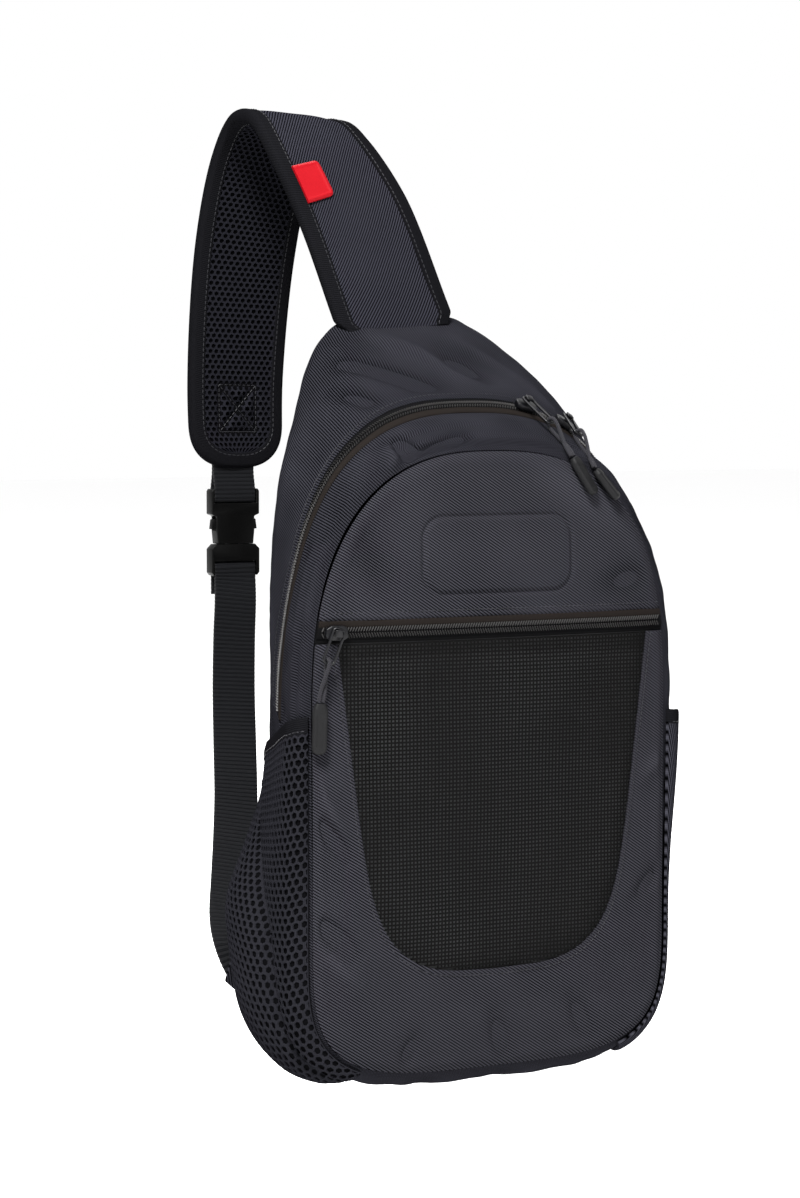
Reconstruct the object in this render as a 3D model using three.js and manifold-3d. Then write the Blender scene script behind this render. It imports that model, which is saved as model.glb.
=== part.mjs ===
// Sling bag for fishing tackle, hanging by its shoulder strap.
//
// Millimetres, +Z up. While it is built, X runs across the bag from the middle of its front,
// Y = 0 is the back edge with the front towards -Y, and Z = 0 is the peak where the strap is sewn on.
// At the end everything is shifted so that the origin is the underside of the strap where it hangs.
import * as THREE from 'three';
import { mergeVertices } from 'three/addons/utils/BufferGeometryUtils.js';
import Module from 'manifold-3d';

const manifold = await Module();
manifold.setup();

// Bag body
const BAG_HEIGHT = 440; // peak to the bottom seam of the front panel
const BAG_DEPTH = 110; // back edge to the front panel's seam
const HALF_WIDTH = 115; // middle of the front panel to its side seam
const WALL = 2; // coated cloth with its foam and lining
const GAP = 0.3; // clearance between neighbouring pieces
const PEAK_SHIFT = 12; // how far the peak leans towards the strap's side
const PEAK_TILT = 5; // rise of the peak across its width
const PEAK_HEIGHT = 70; // stretch below the peak that leans and tilts
const PEAK_SPAN = 75; // width over which the tilt is measured
const BACK_PAD = 8; // padded back panel
const BACK_SEAM = WALL + 3 * GAP; // back panel's edge inside the shell's rim

// Main zip
const ZIP_DEPTH = 78; // back edge to the middle of the teeth, over the top
const ZIP_SWEEP = 17; // how far the zip runs back towards its ends
const ZIP_SWEEP_TOP = 140; // below the peak, where it starts to run back
const ZIP_WIDTH = 11; // tape between the two cloth edges
const ZIP_END = 241; // how far below the peak the zip stops on each side
const ZIP_TAPE = 1.4;
const TEETH_HEIGHT = 1.5; // how far the closed teeth stand above the tape

// Front panel and its mesh pocket
const FRONT_CROWN = 7; // how far the front bulges beyond its seam
const SEAM_DEPTH = BAG_DEPTH - WALL; // front edge of the side wall
const POCKET_ZIP_TOP = 175; // below the peak
const POCKET_ZIP_WIDTH = 13;
const CLOTH = 1.6; // single cloth of the front panel and the pockets
const WINDOW_HEIGHT = 195;
const WINDOW_TOP_HALF = 103;
const WINDOW_LOW_HALF = 78;
const MESH = 1; // open mesh cloth
const MESH_RECESS = 0.4; // mesh below the face of the frame round it
const POCKET_ROOM = 9; // front mesh to the cloth behind it

// Side pockets
const SIDE_POCKET_TOP = { rear: 256, front: 236 }; // below the peak, at the two ends of the top edge
const SIDE_POCKET_REAR = 8; // from the back edge
const SIDE_POCKET_FRONT = BAG_DEPTH - 5;
const POCKET_SEAM = 0.9; // how far the pockets' sewn edges stand off the wall
const LEFT_PUFF = 27; // greatest bulge of the mesh pocket
const LEFT_MOUTH = 0.24; // how far its top edge stands off, as a share of its bulge
const RIGHT_PUFF = 8.5; // greatest bulge of the cloth pocket
const RIGHT_MOUTH = 1.25;
const POCKET_LOW = 0.082; // place round the body of the pockets' bottom seam
const BINDING = 0.045; // tape on the top edge, as a share of the pocket's height
const BINDING_THICK = 2.6;

// Shoulder strap
const STRAP_BASE = { across: -16.5, depth: 10, height: 1.6 };
const BASE_SKEW = 0.175; // slant of the base seam, along for each millimetre across
const BASE_CUT = 0.5; // slant of its cut end through the thickness
const BASE_BLEND = 60; // stretch of the strap over which the slants die out
const STRAP_LEAN = 49.5; // sideways from base to free end
const STRAP_REACH = 124.7; // backwards
const STRAP_RISE = 120.5; // base to the top of the loop
const STRAP_WIDTH = 75.5;
const STRAP_END_WIDTH = 65;
const STRAP_PAD = 6;
const STRAP_LINING = 1.6; // holed mesh on the inside
const STRAP_TAPE = 9.5; // binding tape, edge to inner border
const STRAP_TAPE_PROUD = 0.5; // binding above the pad's faces
const END_ROUND = 30; // length of the rounded end

// Webbing and buckle
const WEBBING_WIDTH = 28;
const WEBBING = 1.6;
const BUCKLE_WIDTH = 33;
const BUCKLE_THICK = 9;
const SOCKET_LENGTH = 35;
const SOCKET_WALL = 1.5;
const PLUG_BASE = 20;
const BAR = 4;
const SLOT = 5.2;

// Zip pulls
const SLIDER_LENGTH = 13;
const SLIDER_WIDTH = 8.5;
const SLIDER_THICK = 3.6;
const POST = 1.1; // half width of the slider's post
const CAP = 2.2; // half width of the cap that keeps the wire on it
const WIRE = 1.7;
const WIRE_WIDTH = 8.4;
const CORD = 2.2;
const GRIP_WIDTH = 8.6;
const GRIP_THICK = 5;

// Tab on the strap
const TAB = { width: 16, height: 24, thick: 1.4, along: 103 };

const COLUMNS_ROUND = 48;
const WINDOW_STATIONS = 20; // places along half of the window's edge
const clamp = THREE.MathUtils.clamp;
const lerp = THREE.MathUtils.lerp;

// Cross-sections of the body, from the back edge to the front seam.
// depth: share of BAG_DEPTH; half: half width as a share of HALF_WIDTH; top, shoulder, hip, bottom:
// heights below the peak as shares of BAG_HEIGHT; roundTop, roundBottom: how square the ends are;
// taper: how much the width closes in towards the top; draw: how much it closes in towards the hip.
const SECTION_COLUMNS = [
  'depth', 'half', 'top', 'shoulder', 'hip', 'bottom', 'roundTop', 'roundBottom', 'taper', 'draw',
];
const SECTIONS = [
  [0.0, 0.739, 0.0, 0.477, 0.784, 0.98, 9, 3, 0.46, 0],
  [0.055, 0.817, 0.001, 0.477, 0.791, 0.998, 8, 3, 0.43, 0],
  [0.182, 0.904, 0.02, 0.477, 0.795, 1.014, 5.5, 3.2, 0.31, 0],
  [0.409, 0.991, 0.061, 0.5, 0.8, 1.029, 3.8, 3.4, 0.16, 0],
  [0.636, 1.035, 0.106, 0.523, 0.807, 1.034, 2.7, 3.6, 0.03, 0.01],
  [0.764, 1.07, 0.1285, 0.523, 0.807, 1.032, 2.55, 3.7, 0, 0.025],
  [0.882, 1.092, 0.147, 0.523, 0.809, 1.027, 2.55, 3.8, 0, 0.04],
  [0.945, 1.073, 0.16, 0.523, 0.812, 1.018, 2.55, 3.8, 0, 0.035],
  [0.982, 1.026, 0.178, 0.523, 0.816, 1.007, 2.55, 3.8, 0, 0],
].map((row) => Object.fromEntries(SECTION_COLUMNS.map((name, i) => [name, row[i]])));

// Centre line of the strap from its base, as shares of STRAP_LEAN, STRAP_REACH and STRAP_RISE,
// with the turn and tilt of its width in degrees.
const STRAP_LINE = [
  { lean: 0, reach: 0, rise: 0, turn: -3, tilt: 3 },
  { lean: 0.36, reach: 0.13, rise: 0.512, turn: -4, tilt: 1 },
  { lean: 0.625, reach: 0.3, rise: 0.838, turn: 1, tilt: -1.6 },
  { lean: 0.72, reach: 0.43, rise: 0.973, turn: 4.5, tilt: -3 },
  { lean: 0.75, reach: 0.555, rise: 1, turn: 5, tilt: -3.5 },
  { lean: 0.76, reach: 0.69, rise: 0.968, turn: 3, tilt: -1.8 },
  { lean: 0.816, reach: 0.827, rise: 0.774, turn: 0, tilt: 0.6 },
  { lean: 0.92, reach: 0.937, rise: 0.341, turn: 0, tilt: 2 },
  { lean: 0.99, reach: 1, rise: -0.313, turn: 3, tilt: 0.4 },
  { lean: 1, reach: 0.98, rise: -0.79, turn: 4, tilt: 0 },
];

// Closed surfaces

// Makes a mesh from points and triangles, drops collapsed triangles and turns it to face outwards.
function closedGeometry(points, triangles) {
  const keys = new Map();
  const unique = [];
  const index = points.map((p) => {
    const key = `${p.x.toFixed(3)},${p.y.toFixed(3)},${p.z.toFixed(3)}`;
    if (!keys.has(key)) {
      keys.set(key, unique.length);
      unique.push(p);
    }
    return keys.get(key);
  });
  const faces = triangles
    .map((t) => t.map((i) => index[i]))
    .filter(([a, b, c]) => a !== b && b !== c && c !== a);
  const volume = faces.reduce(
    (sum, [a, b, c]) => sum + unique[a].dot(new THREE.Vector3().crossVectors(unique[b], unique[c])), 0);
  const facing = volume < 0 ? faces.map(([a, b, c]) => [a, c, b]) : faces;
  const geometry = new THREE.BufferGeometry();
  geometry.setAttribute('position', new THREE.Float32BufferAttribute(unique.flatMap((p) => [p.x, p.y, p.z]), 3));
  geometry.setIndex(facing.flat());
  geometry.computeVertexNormals();
  return geometry;
}

// Closed body between two equal grids of points. Wrapped grids close on their first column.
function between(outer, inner, wrapped = false) {
  const rows = outer.length;
  const columns = outer[0].length;
  const points = [...outer.flat(), ...inner.flat()];
  const triangles = [];
  const at = (side, row, column) => side * rows * columns + row * columns + (column % columns);
  const quad = (a, b, c, d) => triangles.push([a, b, c], [a, c, d]);
  const spans = wrapped ? columns : columns - 1;
  for (let c = 0; c < spans; c += 1) {
    for (let r = 0; r < rows - 1; r += 1) {
      quad(at(0, r, c), at(0, r, c + 1), at(0, r + 1, c + 1), at(0, r + 1, c));
      quad(at(1, r, c), at(1, r + 1, c), at(1, r + 1, c + 1), at(1, r, c + 1));
    }
    quad(at(0, 0, c), at(1, 0, c), at(1, 0, c + 1), at(0, 0, c + 1));
    quad(at(0, rows - 1, c), at(0, rows - 1, c + 1), at(1, rows - 1, c + 1), at(1, rows - 1, c));
  }
  if (!wrapped) {
    const last = columns - 1;
    for (let r = 0; r < rows - 1; r += 1) {
      quad(at(0, r, 0), at(0, r + 1, 0), at(1, r + 1, 0), at(1, r, 0));
      quad(at(0, r, last), at(1, r, last), at(1, r + 1, last), at(0, r + 1, last));
    }
  }
  return closedGeometry(points, triangles);
}

const steps = (count, from = 0, to = 1) =>
  Array.from({ length: count + 1 }, (_, i) => from + ((to - from) * i) / count);
const grid = (rowValues, columnValues, point) => rowValues.map((r) => columnValues.map((c) => point(r, c)));

function asManifold(geometry) {
  const bare = new THREE.BufferGeometry();
  bare.setAttribute('position', geometry.getAttribute('position').clone());
  if (geometry.index) bare.setIndex(geometry.index.clone());
  const merged = mergeVertices(bare, 1e-4);
  return new manifold.Manifold(new manifold.Mesh({
    numProp: 3,
    vertProperties: new Float32Array(merged.getAttribute('position').array),
    triVerts: new Uint32Array(merged.index.array),
  }));
}

function fromManifold(solid) {
  const mesh = solid.getMesh();
  const geometry = new THREE.BufferGeometry();
  geometry.setAttribute('position', new THREE.BufferAttribute(new Float32Array(mesh.vertProperties), 3));
  geometry.setIndex(new THREE.BufferAttribute(new Uint32Array(mesh.triVerts), 1));
  return geometry;
}

// Body surface

// Values of the body's cross-section at a depth in millimetres from the back edge.
function section(depth) {
  const share = clamp(depth / BAG_DEPTH, SECTIONS[0].depth, SECTIONS.at(-1).depth);
  const after = Math.max(1, SECTIONS.findIndex((row) => row.depth >= share));
  const low = SECTIONS[after - 1];
  const high = SECTIONS[after];
  const mix = (share - low.depth) / (high.depth - low.depth);
  return Object.fromEntries(Object.keys(low).map((key) => [key, lerp(low[key], high[key], mix)]));
}

// Right half of a cross-section as points (x, z) spaced evenly from the bottom centre to the top centre.
const halfOutlines = new Map();
function halfOutline(depth) {
  const key = depth.toFixed(4);
  if (halfOutlines.has(key)) return halfOutlines.get(key);
  const s = section(depth);
  const half = s.half * HALF_WIDTH;
  const quarter = steps(80, 0, Math.PI / 2);
  const lower = quarter.map((a) => new THREE.Vector2(
    half * Math.sin(a) ** (2 / s.roundBottom),
    -BAG_HEIGHT * lerp(s.hip, s.bottom, Math.cos(a) ** (2 / s.roundBottom))));
  const upper = quarter.slice(1).map((a) => {
    const lift = Math.sin(a) ** (2 / s.roundTop);
    const narrow = 1 - s.taper * lift ** 3;
    return new THREE.Vector2(
      half * narrow * Math.max(0, Math.cos(a)) ** (2 / s.roundTop),
      -BAG_HEIGHT * lerp(s.shoulder, s.top, lift));
  });
  const side = steps(6, -BAG_HEIGHT * s.hip, -BAG_HEIGHT * s.shoulder).map((z) => new THREE.Vector2(half, z));
  const drawn = [...lower, ...side, ...upper];
  drawn.forEach((p) => {
    p.x *= 1 - s.draw * THREE.MathUtils.smoothstep(-p.y / BAG_HEIGHT, s.shoulder, s.hip);
  });
  const outline = evenly(drawn, 240);
  halfOutlines.set(key, outline);
  return outline;
}

// Resamples a polyline into equal steps.
function evenly(points, count) {
  const lengths = [0];
  for (let i = 1; i < points.length; i += 1) lengths.push(lengths[i - 1] + points[i].distanceTo(points[i - 1]));
  let span = 1;
  return steps(count, 0, lengths.at(-1)).map((want) => {
    while (span < points.length - 1 && lengths[span] < want) span += 1;
    const mix = (want - lengths[span - 1]) / (lengths[span] - lengths[span - 1] || 1);
    return points[span - 1].clone().lerp(points[span], clamp(mix, 0, 1));
  });
}

function sample(points, share) {
  const place = clamp(share, 0, 1) * (points.length - 1);
  const low = Math.min(Math.floor(place), points.length - 2);
  return points[low].clone().lerp(points[low + 1], place - low);
}

// Point of the body's outer surface. round runs from the bottom centre up the right side (0.5 is the
// top centre) and down the left side; depth is in millimetres from the back edge.
function body(round, depth) {
  const turn = ((round % 1) + 1) % 1;
  const right = turn <= 0.5;
  const p = sample(halfOutline(depth), right ? turn * 2 : 2 - turn * 2);
  const near = THREE.MathUtils.smoothstep(p.y, -PEAK_HEIGHT, 0);
  const x = (right ? p.x : -p.x) - PEAK_SHIFT * near;
  return new THREE.Vector3(x, -depth, p.y + (PEAK_TILT * near * (x - STRAP_BASE.across)) / PEAK_SPAN);
}

function bodyNormal(round, depth) {
  const reach = 0.5;
  const low = Math.max(0, depth - reach);
  const high = Math.min(SECTIONS.at(-1).depth * BAG_DEPTH, depth + reach);
  const along = body(round + 0.004, depth).sub(body(round - 0.004, depth));
  const across = body(round, high).sub(body(round, low));
  return along.cross(across).normalize();
}

// Point at a height above the body's surface, or inside it where the height is negative.
const bodyOut = (round, depth, height) =>
  body(round, depth).addScaledVector(bodyNormal(round, depth), height);

// Place round the body, on its right side, where the surface at a depth is so far below the peak.
function roundAt(depth, below) {
  const outline = halfOutline(depth);
  const after = outline.findIndex((p) => p.y >= -below);
  const step = outline[after].y - outline[after - 1].y;
  return (after - (outline[after].y + below) / step) / (outline.length - 1) / 2;
}

// Front face

// Right half of the body's outline at a depth, from the bottom up, moved inwards, and more so round
// its lower corner where slack is given.
const insetOutline = (depth, inset, slack = 0) => halfOutline(depth).map((p, i, all) => {
  const before = all[Math.max(0, i - 1)];
  const after = all[Math.min(all.length - 1, i + 1)];
  const along = after.clone().sub(before).normalize();
  const more = slack * (1 - THREE.MathUtils.smoothstep(i / all.length, 0.3, 0.45));
  const inwards = new THREE.Vector2(-along.y, along.x).multiplyScalar(inset + more);
  return new THREE.Vector2(Math.max(0, p.x + inwards.x), p.y + inwards.y);
});

// Outline of the front panel, inside the seam allowance of the side wall.
const frontOutline = insetOutline(SEAM_DEPTH, WALL + GAP);
const FRONT_TOP = frontOutline.at(-1).y;
const FRONT_BOTTOM = frontOutline[0].y;

// Right-hand edge of the front panel at a height.
function frontHalf(z) {
  const index = clamp(frontOutline.findIndex((p) => p.y >= z), 1, frontOutline.length - 1);
  const low = frontOutline[index - 1];
  const high = frontOutline[index];
  return lerp(low.x, high.x, clamp((z - low.y) / (high.y - low.y || 1), 0, 1));
}

// Depth of the front face: the seam's depth plus a bulge that dies out towards the edges.
function frontDepth(x, z) {
  const middle = (FRONT_TOP + FRONT_BOTTOM) / 2;
  const reach = (FRONT_TOP - FRONT_BOTTOM) / 2;
  const sideways = Math.max(0, 1 - Math.abs(x / HALF_WIDTH) ** 3);
  const upright = Math.max(0, 1 - Math.abs((z - middle) / reach) ** 4);
  return SEAM_DEPTH + CLOTH + FRONT_CROWN * sideways * upright;
}

const onFront = (x, z, sunk = 0) => new THREE.Vector3(x, -(frontDepth(x, z) - sunk), z);

// Sheet that follows the front face between two sunken depths.
const frontSheet = (rowValues, columnValues, place, sunk, thick) =>
  between(grid(rowValues, columnValues, (r, c) => onFront(...place(r, c), sunk)),
    grid(rowValues, columnValues, (r, c) => onFront(...place(r, c), sunk + thick)));

// Half width of the mesh window at a share of its height, from its top edge down.
const windowHalf = (share) =>
  lerp(WINDOW_TOP_HALF, WINDOW_LOW_HALF, share) * Math.max(0, 1 - share ** 8.4) ** (1 / 3.2);
const WINDOW_TOP = -(POCKET_ZIP_TOP + POCKET_ZIP_WIDTH);
const windowEdge = evenly(steps(160).map((share) =>
  new THREE.Vector2(windowHalf(share), WINDOW_TOP - WINDOW_HEIGHT * share)), 2 * WINDOW_STATIONS);

function frontPanel() {
  const low = -POCKET_ZIP_TOP + GAP / 2;
  const start = frontOutline.findIndex((p) => p.y > low);
  const edge = evenly([new THREE.Vector2(frontHalf(low), low), ...frontOutline.slice(start)], 14);
  return frontSheet(steps(14), steps(8, -1, 1), (r, c) => {
    const p = sample(edge, r);
    return [p.x * c, p.y];
  }, 0, CLOTH);
}

function pocketZip() {
  const high = -POCKET_ZIP_TOP - GAP / 2;
  const low = WINDOW_TOP + GAP / 2;
  const lift = (r) => (Math.abs(r - 0.5) < 0.2 ? 0 : TEETH_HEIGHT);
  const rows = [0, 0.3, 0.36, 0.64, 0.7, 1];
  const columns = steps(12, -1, 1);
  const place = (r, c) => [frontHalf(lerp(low, high, r)) * c, lerp(low, high, r)];
  return between(grid(rows, columns, (r, c) => onFront(...place(r, c), lift(r))),
    grid(rows, columns, (r, c) => onFront(...place(r, c), TEETH_HEIGHT + ZIP_TAPE)));
}

// Cloth frame round the mesh window, as a U from its top right end to its top left end.
function frontFrame() {
  const high = WINDOW_TOP - GAP / 2;
  const start = frontOutline.findIndex((p) => p.y > high);
  const outer = evenly([...frontOutline.slice(0, start), new THREE.Vector2(frontHalf(high), high)].reverse(), 40);
  const inner = windowEdge.map((p) => new THREE.Vector2(p.x, Math.min(p.y, high)));
  return frontSheet(steps(2), steps(2 * WINDOW_STATIONS, -1, 1), (across, along) => {
    const a = sample(inner, 1 - Math.abs(along));
    const b = sample(outer, 1 - Math.abs(along));
    const p = a.lerp(b, across);
    return [Math.sign(along) * p.x, p.y];
  }, 0, CLOTH);
}

function windowMesh() {
  const inset = (p) => [Math.max(0, p.x - 2 * GAP), Math.max(p.y, WINDOW_TOP - WINDOW_HEIGHT + 2 * GAP)];
  return frontSheet(steps(WINDOW_STATIONS), steps(6, -1, 1), (r, c) => {
    const [x, z] = inset(sample(windowEdge, r));
    return [x * c, Math.min(z, WINDOW_TOP - GAP / 2)];
  }, MESH_RECESS, MESH);
}

// Cloth wall behind the mesh pocket, standing inside the side wall.
function pocketBack() {
  const high = -POCKET_ZIP_TOP;
  const outline = insetOutline(SEAM_DEPTH + CLOTH - POCKET_ROOM, WALL + 2 * GAP, WALL);
  const edge = evenly(outline.slice(0, outline.findIndex((p) => p.y > high)), 12);
  return frontSheet(steps(12), steps(6, -1, 1), (r, c) => {
    const p = sample(edge, r);
    return [p.x * c, p.y];
  }, POCKET_ROOM, CLOTH);
}

// Shell walls

// Wall that lies inside the body's surface. Each depth is a function of the place round the body.
function shellWall(rounds, depths, thick, wrapped) {
  const layer = (height) => grid(depths, rounds, (depthAt, u) => bodyOut(u, depthAt(u), height));
  return between(layer(0), layer(-thick), wrapped);
}

// Depth of the teeth at a place round the body. The zip runs back towards its two ends.
const zipMiddle = (u) => ZIP_DEPTH - ZIP_SWEEP
  * THREE.MathUtils.smoothstep(-body(u, ZIP_DEPTH).z, ZIP_SWEEP_TOP, ZIP_END);
const zipStart = roundAt(ZIP_DEPTH, ZIP_END);
const ZIP_STEP = 0.0012; // share of the way round left free at each end of the zip
const archRounds = steps(34, zipStart, 1 - zipStart);
const baseRounds = steps(18, 1 - zipStart + ZIP_STEP, 1 + zipStart - ZIP_STEP);
const onArch = (u) => u > zipStart - ZIP_STEP / 2 && u < 1 - zipStart + ZIP_STEP / 2;

// Rear part of the body, from the back edge to the zip and, below the zip's ends, to the front part.
function rearShell() {
  const front = (u) => zipMiddle(u) + (onArch(u) ? -ZIP_WIDTH / 2 : ZIP_WIDTH / 2) - GAP / 2;
  const rows = [0, 0.08, 0.28, 0.62, 1].map((share) => (u) => share * front(u));
  return shellWall([...archRounds, ...baseRounds], rows, WALL, true);
}

function frontGusset() {
  const rear = (u) => zipMiddle(u) + ZIP_WIDTH / 2 + GAP / 2;
  const rows = [0, 0.35, 0.64, 0.86, 1].map((share) => (u) => lerp(rear(u), SEAM_DEPTH, share));
  return shellWall([...archRounds, ...baseRounds], rows, WALL, true);
}

function mainZip() {
  const half = ZIP_WIDTH / 2 - GAP / 2;
  const crest = ZIP_WIDTH * 0.16;
  const lift = (off) => (Math.abs(off) < crest ? TEETH_HEIGHT - ZIP_TAPE / 2 : -ZIP_TAPE / 2);
  const offsets = [-half, -crest * 1.25, -crest * 0.8, crest * 0.8, crest * 1.25, half];
  const rounds = [zipStart + ZIP_STEP, ...archRounds.slice(1, -1), 1 - zipStart - ZIP_STEP];
  const layer = (height) => grid(offsets, rounds, (off, u) => bodyOut(u, zipMiddle(u) + off, height(off)));
  return between(layer(lift), layer(() => -ZIP_TAPE * 1.5));
}

// Padded back panel inside the shell's rear rim.
function backPanel() {
  const rounds = steps(COLUMNS_ROUND - 1, 0, 1 - 1 / COLUMNS_ROUND);
  const inside = (u, depth) => {
    const along = body(u + 0.004, depth).sub(body(u - 0.004, depth)).normalize();
    return body(u, depth).add(new THREE.Vector3(-along.z, 0, along.x).multiplyScalar(BACK_SEAM));
  };
  const middle = new THREE.Vector3(0, 0, -BAG_HEIGHT / 2);
  const rim = rounds.map((u) => {
    const rear = inside(u, 0).setY(0);
    const front = inside(u, BACK_PAD).setY(0);
    return rear.distanceTo(middle) < front.distanceTo(middle) ? rear : front;
  });
  const shares = [1, 0.55, 0.02];
  const face = (y) => shares.map((share) => rim.map((p) => p.clone().lerp(middle, 1 - share).setY(-y)));
  return between(face(0), face(BACK_PAD), true);
}

// Side pockets

// How far a pocket stands off the body. down runs from its top edge to its bottom seam,
// forward from its rear seam to its front seam.
function puff(down, forward, full, mouth) {
  const sides = Math.max(0, 1 - Math.abs(2 * forward - 1) ** 2.4) ** 0.6;
  const swell = lerp(mouth, 1, THREE.MathUtils.smoothstep(down, 0, 0.55));
  const floor = Math.max(0, 1 - down ** 5) ** 0.6;
  return full * sides * swell * floor;
}

// Wall of a side pocket between two shares of its height. side is 1 on the right and -1 on the left.
function sidePocket(side, full, mouth, thick, from, to, rowCount) {
  const point = (down, front, height) => {
    const depth = lerp(SIDE_POCKET_REAR, SIDE_POCKET_FRONT, front);
    const top = roundAt(depth, lerp(SIDE_POCKET_TOP.rear, SIDE_POCKET_TOP.front, front));
    const round = lerp(top, POCKET_LOW, down);
    return bodyOut(side > 0 ? round : 1 - round, depth, POCKET_SEAM + puff(down, front, full, mouth) + height);
  };
  const rows = steps(rowCount, from, to);
  const columns = steps(10);
  return between(grid(rows, columns, (d, f) => point(d, f, thick)), grid(rows, columns, (d, f) => point(d, f, 0)));
}

// Shoulder strap

const strapStart = new THREE.Vector3(STRAP_BASE.across, -STRAP_BASE.depth, STRAP_BASE.height);
const strapCurve = new THREE.CatmullRomCurve3(STRAP_LINE.map((row) => new THREE.Vector3(
  -row.lean * STRAP_LEAN, row.reach * STRAP_REACH, row.rise * STRAP_RISE).add(strapStart)), false, 'centripetal');
strapCurve.arcLengthDivisions = 600;
const STRAP_LENGTH = strapCurve.getLength();
const strapHalfThick = (STRAP_PAD + GAP + STRAP_LINING) / 2;

// Axes of a band whose width is turned and tilted about a tangent.
function bandAxes(tangent, turn, tilt) {
  const across = new THREE.Vector3(Math.cos(turn) * Math.cos(tilt), Math.sin(turn) * Math.cos(tilt), Math.sin(tilt));
  across.addScaledVector(tangent, -across.dot(tangent)).normalize();
  return { across, out: across.clone().cross(tangent) };
}

// Point of the strap: along from its base, across from its middle, out towards its outer face.
function strapPoint(along, sideways, out) {
  const share = clamp(along / STRAP_LENGTH, 0, 1);
  const tangent = strapCurve.getTangentAt(share);
  const place = strapCurve.getUtoTmapping(share) * (STRAP_LINE.length - 1);
  const low = Math.min(Math.floor(place), STRAP_LINE.length - 2);
  const angle = (key) => THREE.MathUtils.degToRad(lerp(STRAP_LINE[low][key], STRAP_LINE[low + 1][key], place - low));
  const axes = bandAxes(tangent, angle('turn'), angle('tilt'));
  return strapCurve.getPointAt(share)
    .addScaledVector(tangent, along - share * STRAP_LENGTH)
    .addScaledVector(axes.across, sideways)
    .addScaledVector(axes.out, out);
}

// The same, with the strap's stations slanted near its base to follow the seam it is sewn into.
const strapPlace = (along, sideways, out) =>
  strapPoint(along - (BASE_SKEW * sideways + BASE_CUT * out) * Math.max(0, 1 - along / BASE_BLEND), sideways, out);

// Half width of the strap, or of the part of it that lies inside its edge, with its rounded end.
function strapHalf(along, inset) {
  const half = lerp(STRAP_WIDTH, STRAP_END_WIDTH, along / STRAP_LENGTH) / 2 - inset;
  const past = (along - (STRAP_LENGTH - END_ROUND)) / (END_ROUND - inset);
  return past <= 0 ? half : half * Math.max(0, 1 - past ** 2.6) ** (1 / 2.6);
}

// Stations along the strap, closer together round its end.
function strapStations(inset, straight, round) {
  const knee = STRAP_LENGTH - END_ROUND;
  const end = steps(round, 0, Math.PI / 2).slice(1).map((a) => knee + (END_ROUND - inset) * Math.sin(a));
  return [...steps(straight, 0, knee), ...end];
}

function strapLayer(low, high) {
  const inset = STRAP_TAPE + GAP;
  const stations = strapStations(inset, 22, 5);
  const layer = (out) => grid(stations, steps(3, -1, 1), (a, b) => strapPlace(a, b * strapHalf(a, inset), out));
  return between(layer(high), layer(low));
}

// Binding tape that runs up one edge of the strap, round its end and back along the other edge.
function strapBinding() {
  const half = strapHalfThick + STRAP_TAPE_PROUD;
  const soften = 1.4;
  const count = strapStations(0, 22, 5).length;
  const edge = (inset) => {
    const stations = strapStations(inset, 22, 5);
    const side = (sign) => stations.map((a) => [a, sign * strapHalf(a, inset)]);
    return [...side(-1), ...side(1).reverse().slice(1)];
  };
  const layers = [-1, -0.5, 0.5, 1];
  const columns = steps(2 * count - 2, 0, 2 * count - 2);
  const wall = (insetOf) => layers.map((h) => {
    const line = edge(insetOf(h));
    return columns.map((i) => strapPlace(line[i][0], line[i][1], h * half));
  });
  return between(wall((h) => (Math.abs(h) > 0.9 ? soften : 0)), wall(() => STRAP_TAPE));
}

function tab() {
  const inner = STRAP_WIDTH / 2 - STRAP_TAPE - GAP;
  const rise = strapHalfThick + STRAP_TAPE_PROUD + GAP;
  const shape = (a, b) => {
    const corner = a === 0 || a === 1 ? 0.14 : 0;
    return [TAB.along - TAB.height * a, -inner + TAB.width * (b * (1 - corner))];
  };
  const layer = (out) => grid([0, 0.12, 0.88, 1], [0, 0.5, 1], (a, b) => strapPoint(...shape(a, b), out));
  return between(layer(rise + TAB.thick), layer(rise));
}

// Webbing

// Flat band along a smooth line, with the turn of its width in degrees at each point.
function ribbon(points, turns, width, thick, count) {
  const curve = new THREE.CatmullRomCurve3(points, false, 'centripetal');
  const layer = (out) => grid([-0.5, 0.5], steps(count), (side, t) => {
    const place = t * (turns.length - 1);
    const low = Math.min(Math.floor(place), turns.length - 2);
    const turn = THREE.MathUtils.degToRad(lerp(turns[low], turns[low + 1], place - low));
    const axes = bandAxes(curve.getTangent(t), turn, 0);
    return curve.getPoint(t).addScaledVector(axes.across, side * width).addScaledVector(axes.out, out);
  });
  return between(layer(thick / 2), layer(-thick / 2));
}

const padEnd = strapPoint(STRAP_LENGTH, 0, 0);
const BUCKLE_SHIFT = 2.7; // sideways, as the webbing hangs
const BUCKLE_DROP = 13; // webbing seen between the pad and the buckle
const FOLD_END = 14; // webbing's end below the plug's bar, behind the long run
const buckleTop = new THREE.Vector3(padEnd.x - BUCKLE_SHIFT, padEnd.y, padEnd.z - BUCKLE_DROP);
const wrap = BAR / 2 + GAP + WEBBING / 2; // webbing's middle round a bar
const layerApart = WEBBING / 2 + GAP / 2; // webbing's middle where two layers lie together

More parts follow.
